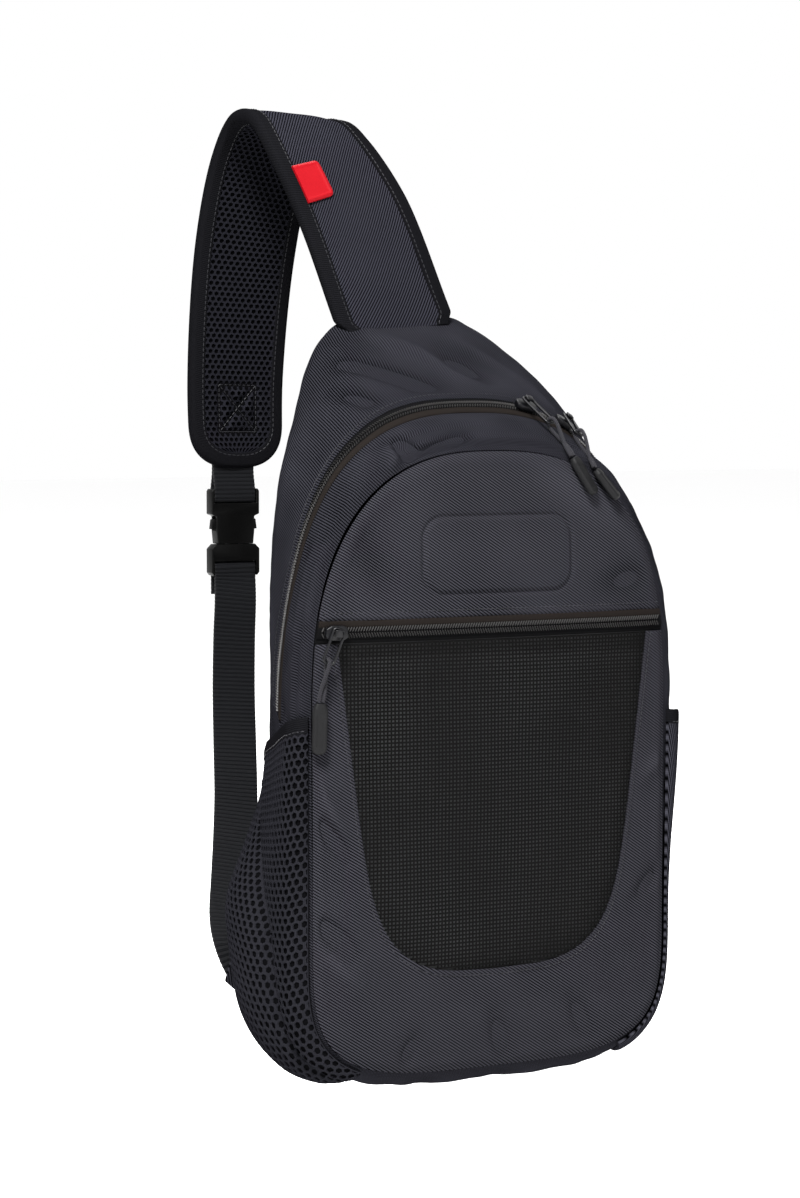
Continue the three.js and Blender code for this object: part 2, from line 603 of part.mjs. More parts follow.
// Loop of webbing from the pad round the socket's top bar. Points are (back, up) from the bar's middle.
function endLoop() {
  const top = BUCKLE_DROP + BAR / 2 - GAP - STRAP_TAPE_PROUD;
  const half = [
    [layerApart, top],
    [layerApart, top / 2],
    [wrap, BAR / 2],
    [wrap, -BAR / 4],
    [wrap * 0.85, -wrap * 0.95],
  ];
  const line = [...half.map(([y, z]) => [-y, z]), [0, -wrap * 1.15], ...[...half].reverse()];
  const middle = buckleTop.clone().add(new THREE.Vector3(0, 0, -BAR / 2));
  const points = line.map(([y, z]) => middle.clone().add(new THREE.Vector3(0, y, z)));
  return ribbon(points, [0, 0], WEBBING_WIDTH, WEBBING, 22);
}

const PLUG_TOP = SOCKET_LENGTH + GAP;
const plugBar = buckleTop.clone().add(new THREE.Vector3(0, 0, -(PLUG_TOP + PLUG_BASE - BAR / 2)));

// Lower corner of the bag where the long webbing is sewn into its anchor.
const ANCHOR_BELOW = BAG_HEIGHT / 1.1;
const ANCHOR_ACROSS = -28.6; // from the back panel's edge to the middle of the webbing's end
const ANCHOR_BACK = 4.8;
const anchorRim = body(1 - roundAt(0, ANCHOR_BELOW), 0).x + BACK_SEAM / 2;
const webbingEnd = new THREE.Vector3(anchorRim + ANCHOR_ACROSS, ANCHOR_BACK, -ANCHOR_BELOW);

// Route of the long webbing as shares of the way from the plug's bar to its end. back is the share left.
const WEBBING_ROUTE = [
  { across: 0.054, back: 0.928, down: 0.0754 },
  { across: 0.122, back: 0.896, down: 0.167 },
  { across: 0.212, back: 0.84, down: 0.3086 },
  { across: 0.32, back: 0.747, down: 0.4419 },
  { across: 0.49, back: 0.607, down: 0.5794 },
  { across: 0.688, back: 0.477, down: 0.6793 },
  { across: 0.915, back: 0.337, down: 0.7751 },
  { across: 1.156, back: 0.179, down: 0.8626 },
  { across: 1.227, back: 0.067, down: 0.9167 },
  { across: 1.142, back: 0.019, down: 0.9625 },
  { across: 1, back: 0, down: 1 },
];
const WEBBING_TURN = [0, 0, 0, 0, 0, 0, -2, -4, -6, -8, -8, -8, -8, -6, -3, 0, 0]; // degrees

function longWebbing() {
  const round = [
    [wrap, -FOLD_END],
    [wrap, -BAR / 2],
    [wrap * 0.85, wrap * 0.95],
    [0, wrap * 1.15],
    [-wrap * 0.85, wrap * 0.95],
    [-wrap, -BAR / 2 - 1],
  ];
  const start = round.map(([y, z]) => plugBar.clone().add(new THREE.Vector3(0, y, z)));
  const route = WEBBING_ROUTE.map((p) => new THREE.Vector3(
    lerp(plugBar.x, webbingEnd.x, p.across),
    lerp(webbingEnd.y, plugBar.y, p.back),
    lerp(plugBar.z, webbingEnd.z, p.down)));
  return ribbon([...start, ...route], WEBBING_TURN, WEBBING_WIDTH, WEBBING, 52);
}

// Flat cloth tab behind the body that the webbing's end is sewn into. Outline: across from the webbing's
// end (or, with null, the back panel's edge) and height above that end.
const ANCHOR_OUTLINE = [
  { across: null, up: 24 },
  { across: null, up: -28 },
  { across: 2, up: -20 },
  { across: -20, up: 0 },
  { across: -14, up: 18 },
];
const ANCHOR_THICK = 2;

function anchorTab() {
  const corners = ANCHOR_OUTLINE.map((p) => new THREE.Vector2(
    p.across === null ? anchorRim : webbingEnd.x + p.across, webbingEnd.z + p.up));
  const geometry = new THREE.ExtrudeGeometry(new THREE.Shape(corners), { depth: ANCHOR_THICK, bevelEnabled: false });
  geometry.rotateX(Math.PI / 2);
  geometry.translate(0, ANCHOR_THICK + GAP, 0);
  return geometry;
}

// Buckle

function block(x0, x1, y0, y1, z0, z1) {
  const geometry = new THREE.BoxGeometry(x1 - x0, y1 - y0, z1 - z0);
  geometry.translate((x0 + x1) / 2, (y0 + y1) / 2, (z0 + z1) / 2);
  return asManifold(geometry);
}

// Plate cut from an outline of (x, z) points on its right side, mirrored to the left.
function plate(right, halfThick) {
  const points = [...right, ...right.map(([x, z]) => [-x, z]).reverse()];
  const shape = new THREE.Shape(points.map(([x, z]) => new THREE.Vector2(x, z)));
  const geometry = new THREE.ExtrudeGeometry(shape, { depth: 2 * halfThick, bevelEnabled: false });
  geometry.rotateX(Math.PI / 2);
  geometry.translate(0, halfThick, 0);
  return asManifold(geometry);
}

const PRONG_HALF = 2.2; // half thickness of the plug's prongs
const CUT_OUT = 3.4; // depth of the side openings that show the prongs
const buckleHalf = BUCKLE_WIDTH / 2;
const mouthHalf = buckleHalf - 4.2;
const windowTop = SOCKET_LENGTH / 2;
const windowLow = SOCKET_LENGTH * 0.76;
const slotHalf = WEBBING_WIDTH / 2 + 2 * GAP;

function socket() {
  const outline = [
    [buckleHalf - 1, 0],
    [buckleHalf, -1.5],
    [buckleHalf, -windowTop + 1.5],
    [buckleHalf - CUT_OUT, -windowTop],
    [buckleHalf - CUT_OUT, -windowLow],
    [mouthHalf, -SOCKET_LENGTH],
  ];
  const cavity = PRONG_HALF + GAP;
  const inner = mouthHalf - SOCKET_WALL;
  return fromManifold(plate(outline, BUCKLE_THICK / 2)
    .subtract(block(-slotHalf, slotHalf, -BUCKLE_THICK, BUCKLE_THICK, -BAR - SLOT, -BAR))
    .subtract(block(-slotHalf, slotHalf, BAR / 2, BUCKLE_THICK, -BAR - SLOT, 1))
    .subtract(block(-slotHalf, slotHalf, -BUCKLE_THICK, -BAR / 2, -BAR - SLOT, 1))
    .subtract(block(-inner, inner, -cavity, cavity, -SOCKET_LENGTH - 1, -BAR - SLOT - 3))
    .subtract(block(-BUCKLE_WIDTH, BUCKLE_WIDTH, -cavity, cavity, -windowLow, -windowTop)));
}

function plug() {
  const top = -PLUG_TOP;
  const low = top - PLUG_BASE;
  const wings = [[buckleHalf - 3, top], [buckleHalf, top - 3], [buckleHalf, low + 2], [buckleHalf - 1.5, low]];
  const base = plate(wings, BUCKLE_THICK / 2);
  const inner = mouthHalf - SOCKET_WALL - GAP;
  const prong = [
    [inner - 4, top - 1],
    [inner, top - 1],
    [inner, -windowLow + GAP],
    [buckleHalf - 0.8, -windowLow + 1],
    [buckleHalf - 1.6, -windowTop - 2],
    [inner - 1, -windowTop - GAP],
    [inner - 4, -windowTop - 5],
  ];
  const prongShape = (sign) => {
    const shape = new THREE.Shape(prong.map(([x, z]) => new THREE.Vector2(sign * x, z)));
    const geometry = new THREE.ExtrudeGeometry(shape, { depth: 2 * PRONG_HALF, bevelEnabled: false });
    geometry.rotateX(Math.PI / 2);
    geometry.translate(0, PRONG_HALF, 0);
    return asManifold(geometry);
  };
  const slotLow = low + BAR;
  return fromManifold(base
    .subtract(block(-slotHalf, slotHalf, -BUCKLE_THICK, BUCKLE_THICK, slotLow, slotLow + SLOT))
    .subtract(block(-slotHalf, slotHalf, BAR / 2, BUCKLE_THICK, low - 1, slotLow + SLOT))
    .subtract(block(-slotHalf, slotHalf, -BUCKLE_THICK, -BAR / 2, low - 1, slotLow + SLOT))
    .add(prongShape(1))
    .add(prongShape(-1))
    .add(block(-2.5, 2.5, -PRONG_HALF, PRONG_HALF, top - 1, -BAR - SLOT - 6)));
}

// Zip pulls

// Place round the body, on its right side, where the arch of the surface at a depth is so far across.
function roundAcross(depth, across) {
  const outline = halfOutline(depth);
  const before = outline.findLastIndex((p) => p.x >= across);
  const step = outline[before].x - outline[before + 1].x;
  return (before + (outline[before].x - across) / step) / (outline.length - 1) / 2;
}

const overBody = (across, depth, height) => bodyOut(roundAcross(depth, across), depth, height);
const overFront = (across, below, height) => onFront(across, -below, -height);
const teethTop = TEETH_HEIGHT - ZIP_TAPE / 2;
const pocketZipMiddle = POCKET_ZIP_TOP + POCKET_ZIP_WIDTH / 2;

// Places of the three sliders across the bag, from the middle of its front.
const MAIN_SLIDER_LEFT = 38;
const MAIN_SLIDER_RIGHT = 63;
const POCKET_SLIDER = -104;

// Each pull: its slider's place across, then the end of its wire, its grip's mouth and its grip's end.
// across and below are from the slider and from the zip (or the peak, on the main zip), behind is from
// the seam of the front panel, and height is above the cloth.
const mainPull = (name, slider, wireEnd, mouth, end) => ({
  name,
  zip: [-1, 1].map((way) => overBody(slider + (way * SLIDER_LENGTH) / 2, ZIP_DEPTH, 0)),
  slider: overBody(slider, ZIP_DEPTH, teethTop),
  out: bodyNormal(roundAcross(ZIP_DEPTH, slider), ZIP_DEPTH),
  line: [
    overBody(slider + wireEnd.across, SEAM_DEPTH - wireEnd.behind, wireEnd.height),
    overBody(slider + mouth.across, SEAM_DEPTH - mouth.behind, mouth.height),
    overFront(slider + end.across, end.below, end.height),
  ],
});

const pocketPull = (name, slider, wireEnd, mouth, end) => ({
  name,
  zip: [-1, 1].map((way) => overFront(slider + (way * SLIDER_LENGTH) / 2, pocketZipMiddle, 0)),
  slider: overFront(slider, pocketZipMiddle, 0),
  out: new THREE.Vector3(0, -1, 0),
  line: [wireEnd, mouth, end].map((place) =>
    overFront(slider + place.across, pocketZipMiddle + place.below, place.height)),
});

const PULLS = [
  mainPull('main_pull_left', MAIN_SLIDER_LEFT, { across: 5.5, behind: 13, height: 5 },
    { across: 13, behind: 0, height: 4.5 }, { across: 25, below: 105, height: 6 }),
  mainPull('main_pull_right', MAIN_SLIDER_RIGHT, { across: -1.5, behind: 13, height: 5 },
    { across: 3, behind: 0, height: 4.5 }, { across: 16, below: 108, height: 6 }),
  pocketPull('pocket_pull', POCKET_SLIDER, { across: -7.5, below: 16.5, height: 6.5 },
    { across: -11.2, below: 39.5, height: 5.5 }, { across: -11.8, below: 69, height: 4.5 }),
];

// Group whose Y runs from one point to another and whose Z points away from the bag.
function alongFrame(from, to, out) {
  const y = to.clone().sub(from).normalize();
  const x = y.clone().cross(out).normalize();
  const z = x.clone().cross(y);
  const frame = new THREE.Group();
  frame.quaternion.setFromRotationMatrix(new THREE.Matrix4().makeBasis(x, y, z));
  frame.position.copy(from);
  return frame;
}

// Flat slider with a post and a cap that hold the wire. Its origin is on the teeth.
function slider(wireHeight) {
  const half = SLIDER_LENGTH / 2;
  const wide = SLIDER_WIDTH / 2;
  const edge = [[-half, wide * 0.55], [-half * 0.5, wide], [half * 0.6, wide], [half, wide * 0.6]];
  const outline = [...edge.map(([x, y]) => [x, -y]), ...[...edge].reverse()];
  const shape = new THREE.Shape(outline.map(([x, y]) => new THREE.Vector2(x, y)));
  const geometry = new THREE.ExtrudeGeometry(shape, { depth: SLIDER_THICK, bevelEnabled: false });
  geometry.translate(0, 0, GAP);
  const cap = wireHeight + WIRE + GAP;
  return asManifold(geometry)
    .add(block(-POST, POST, -POST, POST, SLIDER_THICK, cap + 0.5))
    .add(block(-CAP, CAP, -CAP, CAP, cap, cap + 1));
}

// Flat wire link. Its Y runs down the pull from the slider's post to the middle of its lower bar.
function wireLink(length) {
  const half = WIRE_WIDTH / 2;
  const rounded = (w, low, high, r) => {
    const shape = new THREE.Shape();
    const corner = (x, y, start) => shape.absarc(x, y, r, start, start + Math.PI / 2);
    shape.moveTo(-w + r, low);
    corner(w - r, low + r, -Math.PI / 2);
    corner(w - r, high - r, 0);
    corner(-w + r, high - r, Math.PI / 2);
    corner(-w + r, low + r, Math.PI);
    return shape;
  };
  const low = -POST - 2 * GAP - WIRE;
  const outline = rounded(half, low, length + WIRE / 2, 2.4);
  outline.holes.push(rounded(half - WIRE, low + WIRE, length - WIRE / 2, 1));
  return new THREE.ExtrudeGeometry(outline, { depth: WIRE, bevelEnabled: false, curveSegments: 2 });
}

// Cord doubled round the wire's lower bar, both ends stopping at the grip's mouth.
// Columns: side (share of half the spacing), down (share of the length), out (share of the turn's radius).
const CORD_ROUTE = [
  { side: -1, down: 1, out: 0 },
  { side: -1, down: 0.72, out: -0.1 },
  { side: -0.6, down: 0.36, out: -0.75 },
  { side: 0, down: 0.08, out: -1 },
  { side: 0, down: -0.06, out: -0.8 },
  { side: 0, down: -0.105, out: 0 },
  { side: 0, down: -0.06, out: 0.8 },
  { side: 0, down: 0.08, out: 1 },
  { side: 0.6, down: 0.36, out: 0.75 },
  { side: 1, down: 0.72, out: 0.1 },
  { side: 1, down: 1, out: 0 },
];

function doubledCord(length, bend) {
  const apart = CORD / 2 + GAP / 2;
  const end = length - 1.5 * GAP - (CORD + GAP) * Math.sin(bend);
  const radius = WIRE * Math.SQRT1_2 + 2 * GAP + CORD / 2;
  const points = CORD_ROUTE.map((p) => new THREE.Vector3(p.side * apart, p.down * end, p.out * radius));
  const shape = new THREE.Shape(steps(8).slice(0, 8).map((t) =>
    new THREE.Vector2(Math.cos(2 * Math.PI * t), Math.sin(2 * Math.PI * t)).multiplyScalar(CORD / 2)));
  const path = new THREE.CatmullRomCurve3(points, false, 'centripetal');
  return new THREE.ExtrudeGeometry(shape, { steps: 17, bevelEnabled: false, extrudePath: path });
}

// Moulded grip, an oval bar with softened ends.
function grip(length) {
  const profile = [[0, 0], [0.7, 0], [0.92, 0.03], [1, 0.1], [1, 0.86], [0.9, 0.95], [0.62, 1], [0, 1]];
  const geometry = new THREE.LatheGeometry(profile.map(([r, y]) => new THREE.Vector2(r, y * length)), 12);
  geometry.scale(GRIP_WIDTH / 2, 1, GRIP_THICK / 2);
  return closedGeometry(pointsOf(geometry), trianglesOf(geometry));
}

function pointsOf(geometry) {
  const position = geometry.getAttribute('position');
  return Array.from({ length: position.count }, (_, i) => new THREE.Vector3().fromBufferAttribute(position, i));
}

function trianglesOf(geometry) {
  const index = geometry.index.array;
  return Array.from({ length: index.length / 3 }, (_, i) => [index[3 * i], index[3 * i + 1], index[3 * i + 2]]);
}

// Finishes

const finish = (color, roughness, metalness = 0) => new THREE.MeshStandardMaterial({ color, roughness, metalness });
const shellCloth = finish(0x2f3036, 0.85);
const pocketCloth = finish(0x2b2c31, 0.9);
const meshCloth = finish(0x17181a, 0.95);
const tape = finish(0x1b1b1d, 0.8);
const zipTape = finish(0x1d1b1c, 0.7);
const plastic = finish(0x1a1a1c, 0.45);
const paintedMetal = finish(0x1c1c1e, 0.4, 0.6);
const rubber = finish(0x232326, 0.6);
const redRubber = finish(0xc8262c, 0.5);

// Assembly

const bag = new THREE.Group();

function piece(name, geometry, material, parent = bag) {
  const mesh = new THREE.Mesh(geometry, material);
  mesh.name = name;
  parent.add(mesh);
  return mesh;
}

piece('back_panel', backPanel(), shellCloth);
piece('rear_shell', rearShell(), shellCloth);
piece('front_gusset', frontGusset(), shellCloth);
piece('main_zip', mainZip(), zipTape);
piece('front_panel', frontPanel(), shellCloth);
piece('pocket_zip', pocketZip(), zipTape);
piece('front_frame', frontFrame(), shellCloth);
piece('window_mesh', windowMesh(), meshCloth);
piece('pocket_back', pocketBack(), meshCloth);

const bindingEnd = BINDING - 0.002;
piece('left_pocket', sidePocket(-1, LEFT_PUFF, LEFT_MOUTH, CLOTH, BINDING, 1, 12), meshCloth);
piece('left_pocket_binding', sidePocket(-1, LEFT_PUFF, LEFT_MOUTH, BINDING_THICK, 0, bindingEnd, 2), tape);
piece('right_pocket', sidePocket(1, RIGHT_PUFF, RIGHT_MOUTH, CLOTH, BINDING, 1, 12), pocketCloth);
piece('right_pocket_binding', sidePocket(1, RIGHT_PUFF, RIGHT_MOUTH, BINDING_THICK, 0, bindingEnd, 2), tape);

piece('shoulder_strap', strapLayer(strapHalfThick - STRAP_PAD, strapHalfThick), shellCloth);
piece('strap_lining', strapLayer(-strapHalfThick, -strapHalfThick + STRAP_LINING), meshCloth);
piece('strap_binding', strapBinding(), tape);
piece('strap_tab', tab(), redRubber);
piece('strap_end_loop', endLoop(), tape);
piece('strap_webbing', longWebbing(), tape);
piece('webbing_anchor', anchorTab(), shellCloth);

const buckle = new THREE.Group();
buckle.position.copy(buckleTop);
bag.add(buckle);
piece('buckle_socket', socket(), plastic, buckle);
piece('buckle_plug', plug(), plastic, buckle);

PULLS.forEach(({ name, zip, slider: middle, out, line }) => {
  const [wireEnd, mouth, end] = line;
  const across = zip[1].clone().sub(zip[0]).normalize();
  const wireHeight = SLIDER_THICK + 6 * GAP;
  const seat = new THREE.Group();
  const seatOut = out.clone().addScaledVector(across, -out.dot(across)).normalize();
  seat.quaternion.setFromRotationMatrix(new THREE.Matrix4().makeBasis(across, seatOut.clone().cross(across), seatOut));
  seat.position.copy(middle);
  bag.add(seat);
  piece(`${name}_slider`, fromManifold(slider(wireHeight)), paintedMetal, seat);

  const wireStart = middle.clone().addScaledVector(seatOut, wireHeight);
  const wire = alongFrame(wireStart, wireEnd, seatOut);
  bag.add(wire);
  piece(`${name}_wire`, wireLink(wireStart.distanceTo(wireEnd)), paintedMetal, wire);

  const barMiddle = wireEnd.clone().addScaledVector(seatOut, WIRE / 2);
  const cord = alongFrame(barMiddle, mouth, seatOut);
  bag.add(cord);
  const bend = mouth.clone().sub(barMiddle).angleTo(end.clone().sub(mouth));
  piece(`${name}_cord`, doubledCord(barMiddle.distanceTo(mouth), bend), tape, cord);

  const handle = alongFrame(mouth, end, seatOut);
  bag.add(handle);
  piece(`${name}_grip`, grip(mouth.distanceTo(end)), rubber, handle);
});

// The bag hangs from the underside of its strap at the top of the loop
const topAlong = steps(200, 0, STRAP_LENGTH).reduce((best, along) =>
  (strapPoint(along, 0, 0).z > strapPoint(best, 0, 0).z ? along : best), 0);
const hang = strapPoint(topAlong, 0, -strapHalfThick - STRAP_TAPE_PROUD);
bag.position.copy(hang).negate();

const group = new THREE.Group();
group.add(bag);
export default group;
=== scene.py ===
"""Looks of a sling bag for fishing tackle, hanging by its shoulder strap.

Lengths are millimetres in the maker's frame until a mesh is made: X runs across the bag from the
middle of its front, Y = 0 is its back edge with the front towards -Y, and Z = 0 is its peak. A mesh
is moved to the row frame, in metres, when it is built.
"""

from __future__ import annotations

import logging
import math
from dataclasses import dataclass, field
from enum import Enum
from typing import Callable

import bpy
import numpy as np
from mathutils import Matrix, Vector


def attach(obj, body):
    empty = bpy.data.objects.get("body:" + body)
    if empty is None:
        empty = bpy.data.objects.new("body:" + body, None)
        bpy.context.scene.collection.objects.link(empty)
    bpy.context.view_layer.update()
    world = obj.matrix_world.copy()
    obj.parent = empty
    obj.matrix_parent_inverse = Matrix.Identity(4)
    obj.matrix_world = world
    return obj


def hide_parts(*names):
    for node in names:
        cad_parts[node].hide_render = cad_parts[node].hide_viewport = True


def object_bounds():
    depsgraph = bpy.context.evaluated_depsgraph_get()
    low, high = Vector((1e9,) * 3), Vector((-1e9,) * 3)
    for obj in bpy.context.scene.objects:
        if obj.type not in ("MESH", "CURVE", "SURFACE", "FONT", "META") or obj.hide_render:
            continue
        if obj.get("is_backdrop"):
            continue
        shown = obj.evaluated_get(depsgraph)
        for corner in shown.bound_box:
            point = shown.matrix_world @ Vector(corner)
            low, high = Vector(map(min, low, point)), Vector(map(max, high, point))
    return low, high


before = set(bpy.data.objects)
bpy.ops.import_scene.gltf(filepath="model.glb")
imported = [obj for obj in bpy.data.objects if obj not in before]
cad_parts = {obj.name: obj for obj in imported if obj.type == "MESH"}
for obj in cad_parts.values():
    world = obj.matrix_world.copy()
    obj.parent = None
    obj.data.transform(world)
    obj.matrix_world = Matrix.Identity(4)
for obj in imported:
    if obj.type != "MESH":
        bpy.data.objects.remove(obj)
CAD_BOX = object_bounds()

log = logging.getLogger("sling_bag")
Array = np.ndarray
Piece = bpy.types.Object
Socket = bpy.types.NodeSocket
Value = Socket | float
Placer = Callable[[Array, Array, float], Array]

# From the source's own coordinates, with the body's peak at zero, to the frame's origin, in mm.
ROW_SHIFT = np.array((53.8767, -58.8975, -117.6604))
MM = 0.001

# Painted shade and light of folds: the points' attribute, the fold height that changes the painted brightness
# by 1, and its limits (valleys painted darker, ridges lighter).
FOLD_SHADE = "fold_shade"
FOLD_DEPTH = 6.0
FOLD_RANGE = (-0.5, 0.2)

# Body
BAG_HEIGHT, BAG_DEPTH, HALF_WIDTH = 440.0, 110.0, 115.0
WALL = 2.0
GAP = 0.3
PEAK_SHIFT, PEAK_TILT, PEAK_HEIGHT, PEAK_SPAN = 12.0, 5.0, 70.0, 75.0
BACK_PAD = 8.0
BACK_SEAM = WALL + 3 * GAP
ZIP_DEPTH = 78.0
ZIP_SWEEP = 17.0
ZIP_SWEEP_TOP = 140.0
ZIP_WIDTH = 11.0
ZIP_END = 241.0
ZIP_STEP = 0.0012
TURN_PITCH = 1.65
MAIN_TURN, POCKET_TURN = (2.2, 0.8, 1.6), (3.1, 0.8, 1.6)
SEAM_STITCH = 3.2
STITCH_SHARE, STITCH_WIDTH, STITCH_THICK = 0.72, 0.62, 0.5

# Front
FRONT_CROWN = 7.0
SEAM_DEPTH = 108.0
POCKET_ZIP_TOP = 175.0
POCKET_ZIP_WIDTH = 13.0
CLOTH = 1.6
WINDOW_PITCH = 2.3
STRAND_HALF_WIDTH, STRAND_HALF_THICK = 0.56, 0.32
WINDOW_HEIGHT = 195.0
WINDOW_TOP_HALF = 103.0
WINDOW_LOW_HALF = 78.0
WINDOW_TOP = -(POCKET_ZIP_TOP + POCKET_ZIP_WIDTH)
POCKET_ROOM = 9.0

# Side pockets
SIDE_POCKET_TOP_REAR = 256.0
LEFT_TOP_REAR = 262.0
SIDE_POCKET_TOP_FRONT = 236.0
LEFT_TOP_FRONT = 229.0
PLEAT = ((0.0, 0.2, 0.56, 0.88, 1.0), (0.36, 0.44, 0.76, 0.90, 0.95))
SIDE_POCKET_REAR = 8.0
SIDE_POCKET_FRONT = 107.3
POCKET_SEAM = 0.9
LEFT_PUFF, LEFT_MOUTH = 24.5, 0.02
RIGHT_PUFF, RIGHT_MOUTH = 8.5, 1.25
POCKET_LOW = 0.082
BINDING = 0.045
AIR_MESH_SIZE, AIR_MESH_PITCH, AIR_MESH_HOLE = (122.0, 190.0), (4.3, 3.8), 0.74

# Shoulder strap
STRAP_BASE = np.array((-16.5, -10.0, 1.6))
BASE_SKEW, BASE_CUT, BASE_BLEND = 0.175, 0.5, 60.0
STRAP_LEAN, STRAP_REACH, STRAP_RISE = 49.5, 124.7, 120.5
STRAP_WIDTH, STRAP_END_WIDTH = 75.5, 65.0
STRAP_PAD, STRAP_LINING = 6.0, 1.6
STRAP_TAPE, STRAP_TAPE_PROUD = 9.5, 0.5
END_ROUND = 30.0
LINING_PITCH, LINING_HOLE = (4.8, 3.3), 0.70
TAB_LENGTH, TAB_WIDTH, TAB_CORNER, TAB_MIDDLE = 24.0, 19.0, 3.2, 103.0
STRAP_HALF_THICK = (STRAP_PAD + GAP + STRAP_LINING) / 2

# Webbing and buckle
WEBBING_WIDTH, WEBBING = 28.0, 1.6
BUCKLE_SHIFT, BUCKLE_DROP = 2.7, 13.0
SOCKET_LENGTH, PLUG_BASE, BAR = 35.0, 20.0, 4.0
WEBBING_END = np.array((-104.0, 4.8, -400.0))

# Zip pulls
CORD, WIRE = 2.2, 1.7
WIRE_WIDTH = 8.4
GRIP_WIDTH, GRIP_THICK = 8.6, 5.0

# Cross-sections of the body. Columns: depth, half, top, shoulder, hip, bottom, roundTop, roundBottom,
# taper, draw, as shares of the body's depth, half width and height.
SECTION_ROWS = np.array((
    (0.0, 0.739, 0.0, 0.477, 0.784, 0.98, 9, 3, 0.46, 0),
    (0.055, 0.817, 0.001, 0.477, 0.791, 0.998, 8, 3, 0.43, 0),
    (0.182, 0.904, 0.02, 0.477, 0.795, 1.014, 5.5, 3.2, 0.31, 0),
    (0.409, 0.991, 0.061, 0.5, 0.8, 1.029, 3.8, 3.4, 0.16, 0),
    (0.636, 1.035, 0.106, 0.523, 0.807, 1.034, 2.7, 3.6, 0.03, 0.01),
    (0.764, 1.07, 0.1285, 0.523, 0.807, 1.032, 2.55, 3.7, 0, 0.025),
    (0.882, 1.092, 0.147, 0.523, 0.809, 1.027, 2.55, 3.8, 0, 0.04),
    (0.945, 1.073, 0.16, 0.523, 0.812, 1.018, 2.55, 3.8, 0, 0.035),
    (0.982, 1.026, 0.178, 0.523, 0.816, 1.007, 2.55, 3.8, 0, 0),
))

# Centre line of the strap. Columns: lean, reach, rise, turn, tilt.
STRAP_ROWS = np.array((
    (0, 0, 0, -3, 3), (0.36, 0.13, 0.512, -4, 1), (0.625, 0.3, 0.838, 1, -1.6),
    (0.72, 0.43, 0.973, 4.5, -3), (0.75, 0.555, 1, 5, -3.5), (0.76, 0.69, 0.968, 3, -1.8),
    (0.816, 0.827, 0.774, 0, 0.6), (0.92, 0.937, 0.341, 0, 2), (0.99, 1, -0.313, 3, 0.4),
    (1, 0.98, -0.79, 4, 0),
))

# Long webbing below the buckle. Columns: across, back (share left), down.
WEBBING_ROWS = np.array((
    (0.054, 0.928, 0.0754), (0.122, 0.896, 0.167), (0.212, 0.84, 0.3086), (0.32, 0.747, 0.4419),
    (0.49, 0.607, 0.5793), (0.688, 0.477, 0.6793), (0.915, 0.337, 0.7751), (1.156, 0.179, 0.8626),
    (1.227, 0.067, 0.9167), (1.142, 0.019, 0.9625), (1.0, 0.0, 1.0),
))
WEBBING_TURN = np.array((0, 0, 0, 0, 0, 0, -2, -4, -6, -8, -8, -8, -8, -6, -3, 0, 0), float)


def smooth(value: Array, low: float, high: float) -> Array:
    """Rises from 0 at low to 1 at high along 3t^2 - 2t^3."""
    t = np.clip((np.asarray(value, float) - low) / (high - low), 0.0, 1.0)
    return t * t * (3.0 - 2.0 * t)


def bell(distance: Array, width: Array | float) -> Array:
    """Gaussian bump: e to the power of minus (distance / width) squared."""
    return np.exp(-((distance / width) ** 2))


def unit(vectors: Array) -> Array:
    """Scales vectors to length 1 along the last axis."""
    return vectors / np.maximum(np.linalg.norm(vectors, axis=-1, keepdims=True), 1e-9)


def running(points: Array) -> Array:
    """Length of a polyline up to each of its points."""
    return np.concatenate(([0.0], np.cumsum(np.linalg.norm(np.diff(points, axis=0), axis=1))))


def total_length(points: Array) -> float:
    """Length of a polyline."""
    return float(np.linalg.norm(np.diff(points, axis=0), axis=1).sum())


def evenly(points: Array, count: int) -> Array:
    """Resamples a polyline at equal arc lengths.

    Args:
        points: (N, D) polyline.
        count: number of steps, so count + 1 points come back.
    Returns:
        (count + 1, D) points.
    """
    lengths = running(points)
    want = np.linspace(0.0, lengths[-1], count + 1)
    return np.stack([np.interp(want, lengths, points[:, i]) for i in range(points.shape[1])], axis=1)


def along_line(points: Array, share: Array) -> Array:
    """Points of an evenly spaced polyline at shares of its length, for shares of any shape.

    Args:
        points: (N, D) polyline.
        share: shares of its length.
    Returns:
        Points, one more axis than share.
    """
    place = np.clip(share, 0.0, 1.0) * (len(points) - 1)
    knots = np.arange(len(points))
    return np.stack([np.interp(place, knots, points[:, i]) for i in range(points.shape[1])], axis=-1)


def line_distance(points: Array, line: Array) -> Array:
    """Least distance of points of any shape from a polyline, one segment of it after another.

    Args:
        points: (..., D) points.
        line: (N, D) polyline.
    Returns:
        Their distances.
    """
    nearest = np.full(points.shape[:-1], np.inf)
    for start, end in zip(line[:-1], line[1:]):
        nearest = np.minimum(nearest, segment_distance(points, start, end)[0])
    return nearest


def segment_distance(points: Array, start: Array, end: Array) -> tuple[Array, Array]:
    """Distance of points from a segment, and their share along it (0 to 1).

    Args:
        points: (..., D) points.
        start, end: the two ends.
    Returns:
        Distances and shares.
    """
    way = end - start
    share = np.clip(((points - start) @ way) / (way @ way), 0.0, 1.0)
    return np.linalg.norm(points - (start + share[..., None] * way), axis=-1), share


@dataclass(frozen=True)
class Fold:
    """A soft fold: a ridge (height above 0) or a valley along a segment, fading out at both ends."""

    start: tuple[float, float, float]
    end: tuple[float, float, float]
    width: float
    height: float

    def relief(self, points: Array) -> Array:
        """Height is the fold's height times a bell of the distance from its segment, with soft ends.

        The segment runs between the surface's points that lie nearest to the fold's two ends.

        Args:
            points: (..., 3) points of the surface.
        Returns:
            Heights in millimetres.
        """
        cloud = points.reshape(-1, 3)
        start, end = (cloud[np.linalg.norm(cloud - np.array(tip), axis=1).argmin()]
                      for tip in (self.start, self.end))
        distance, share = segment_distance(points, start, end)
        return self.height * bell(distance, self.width) * (0.35 + 0.65 * np.sin(math.pi * share))


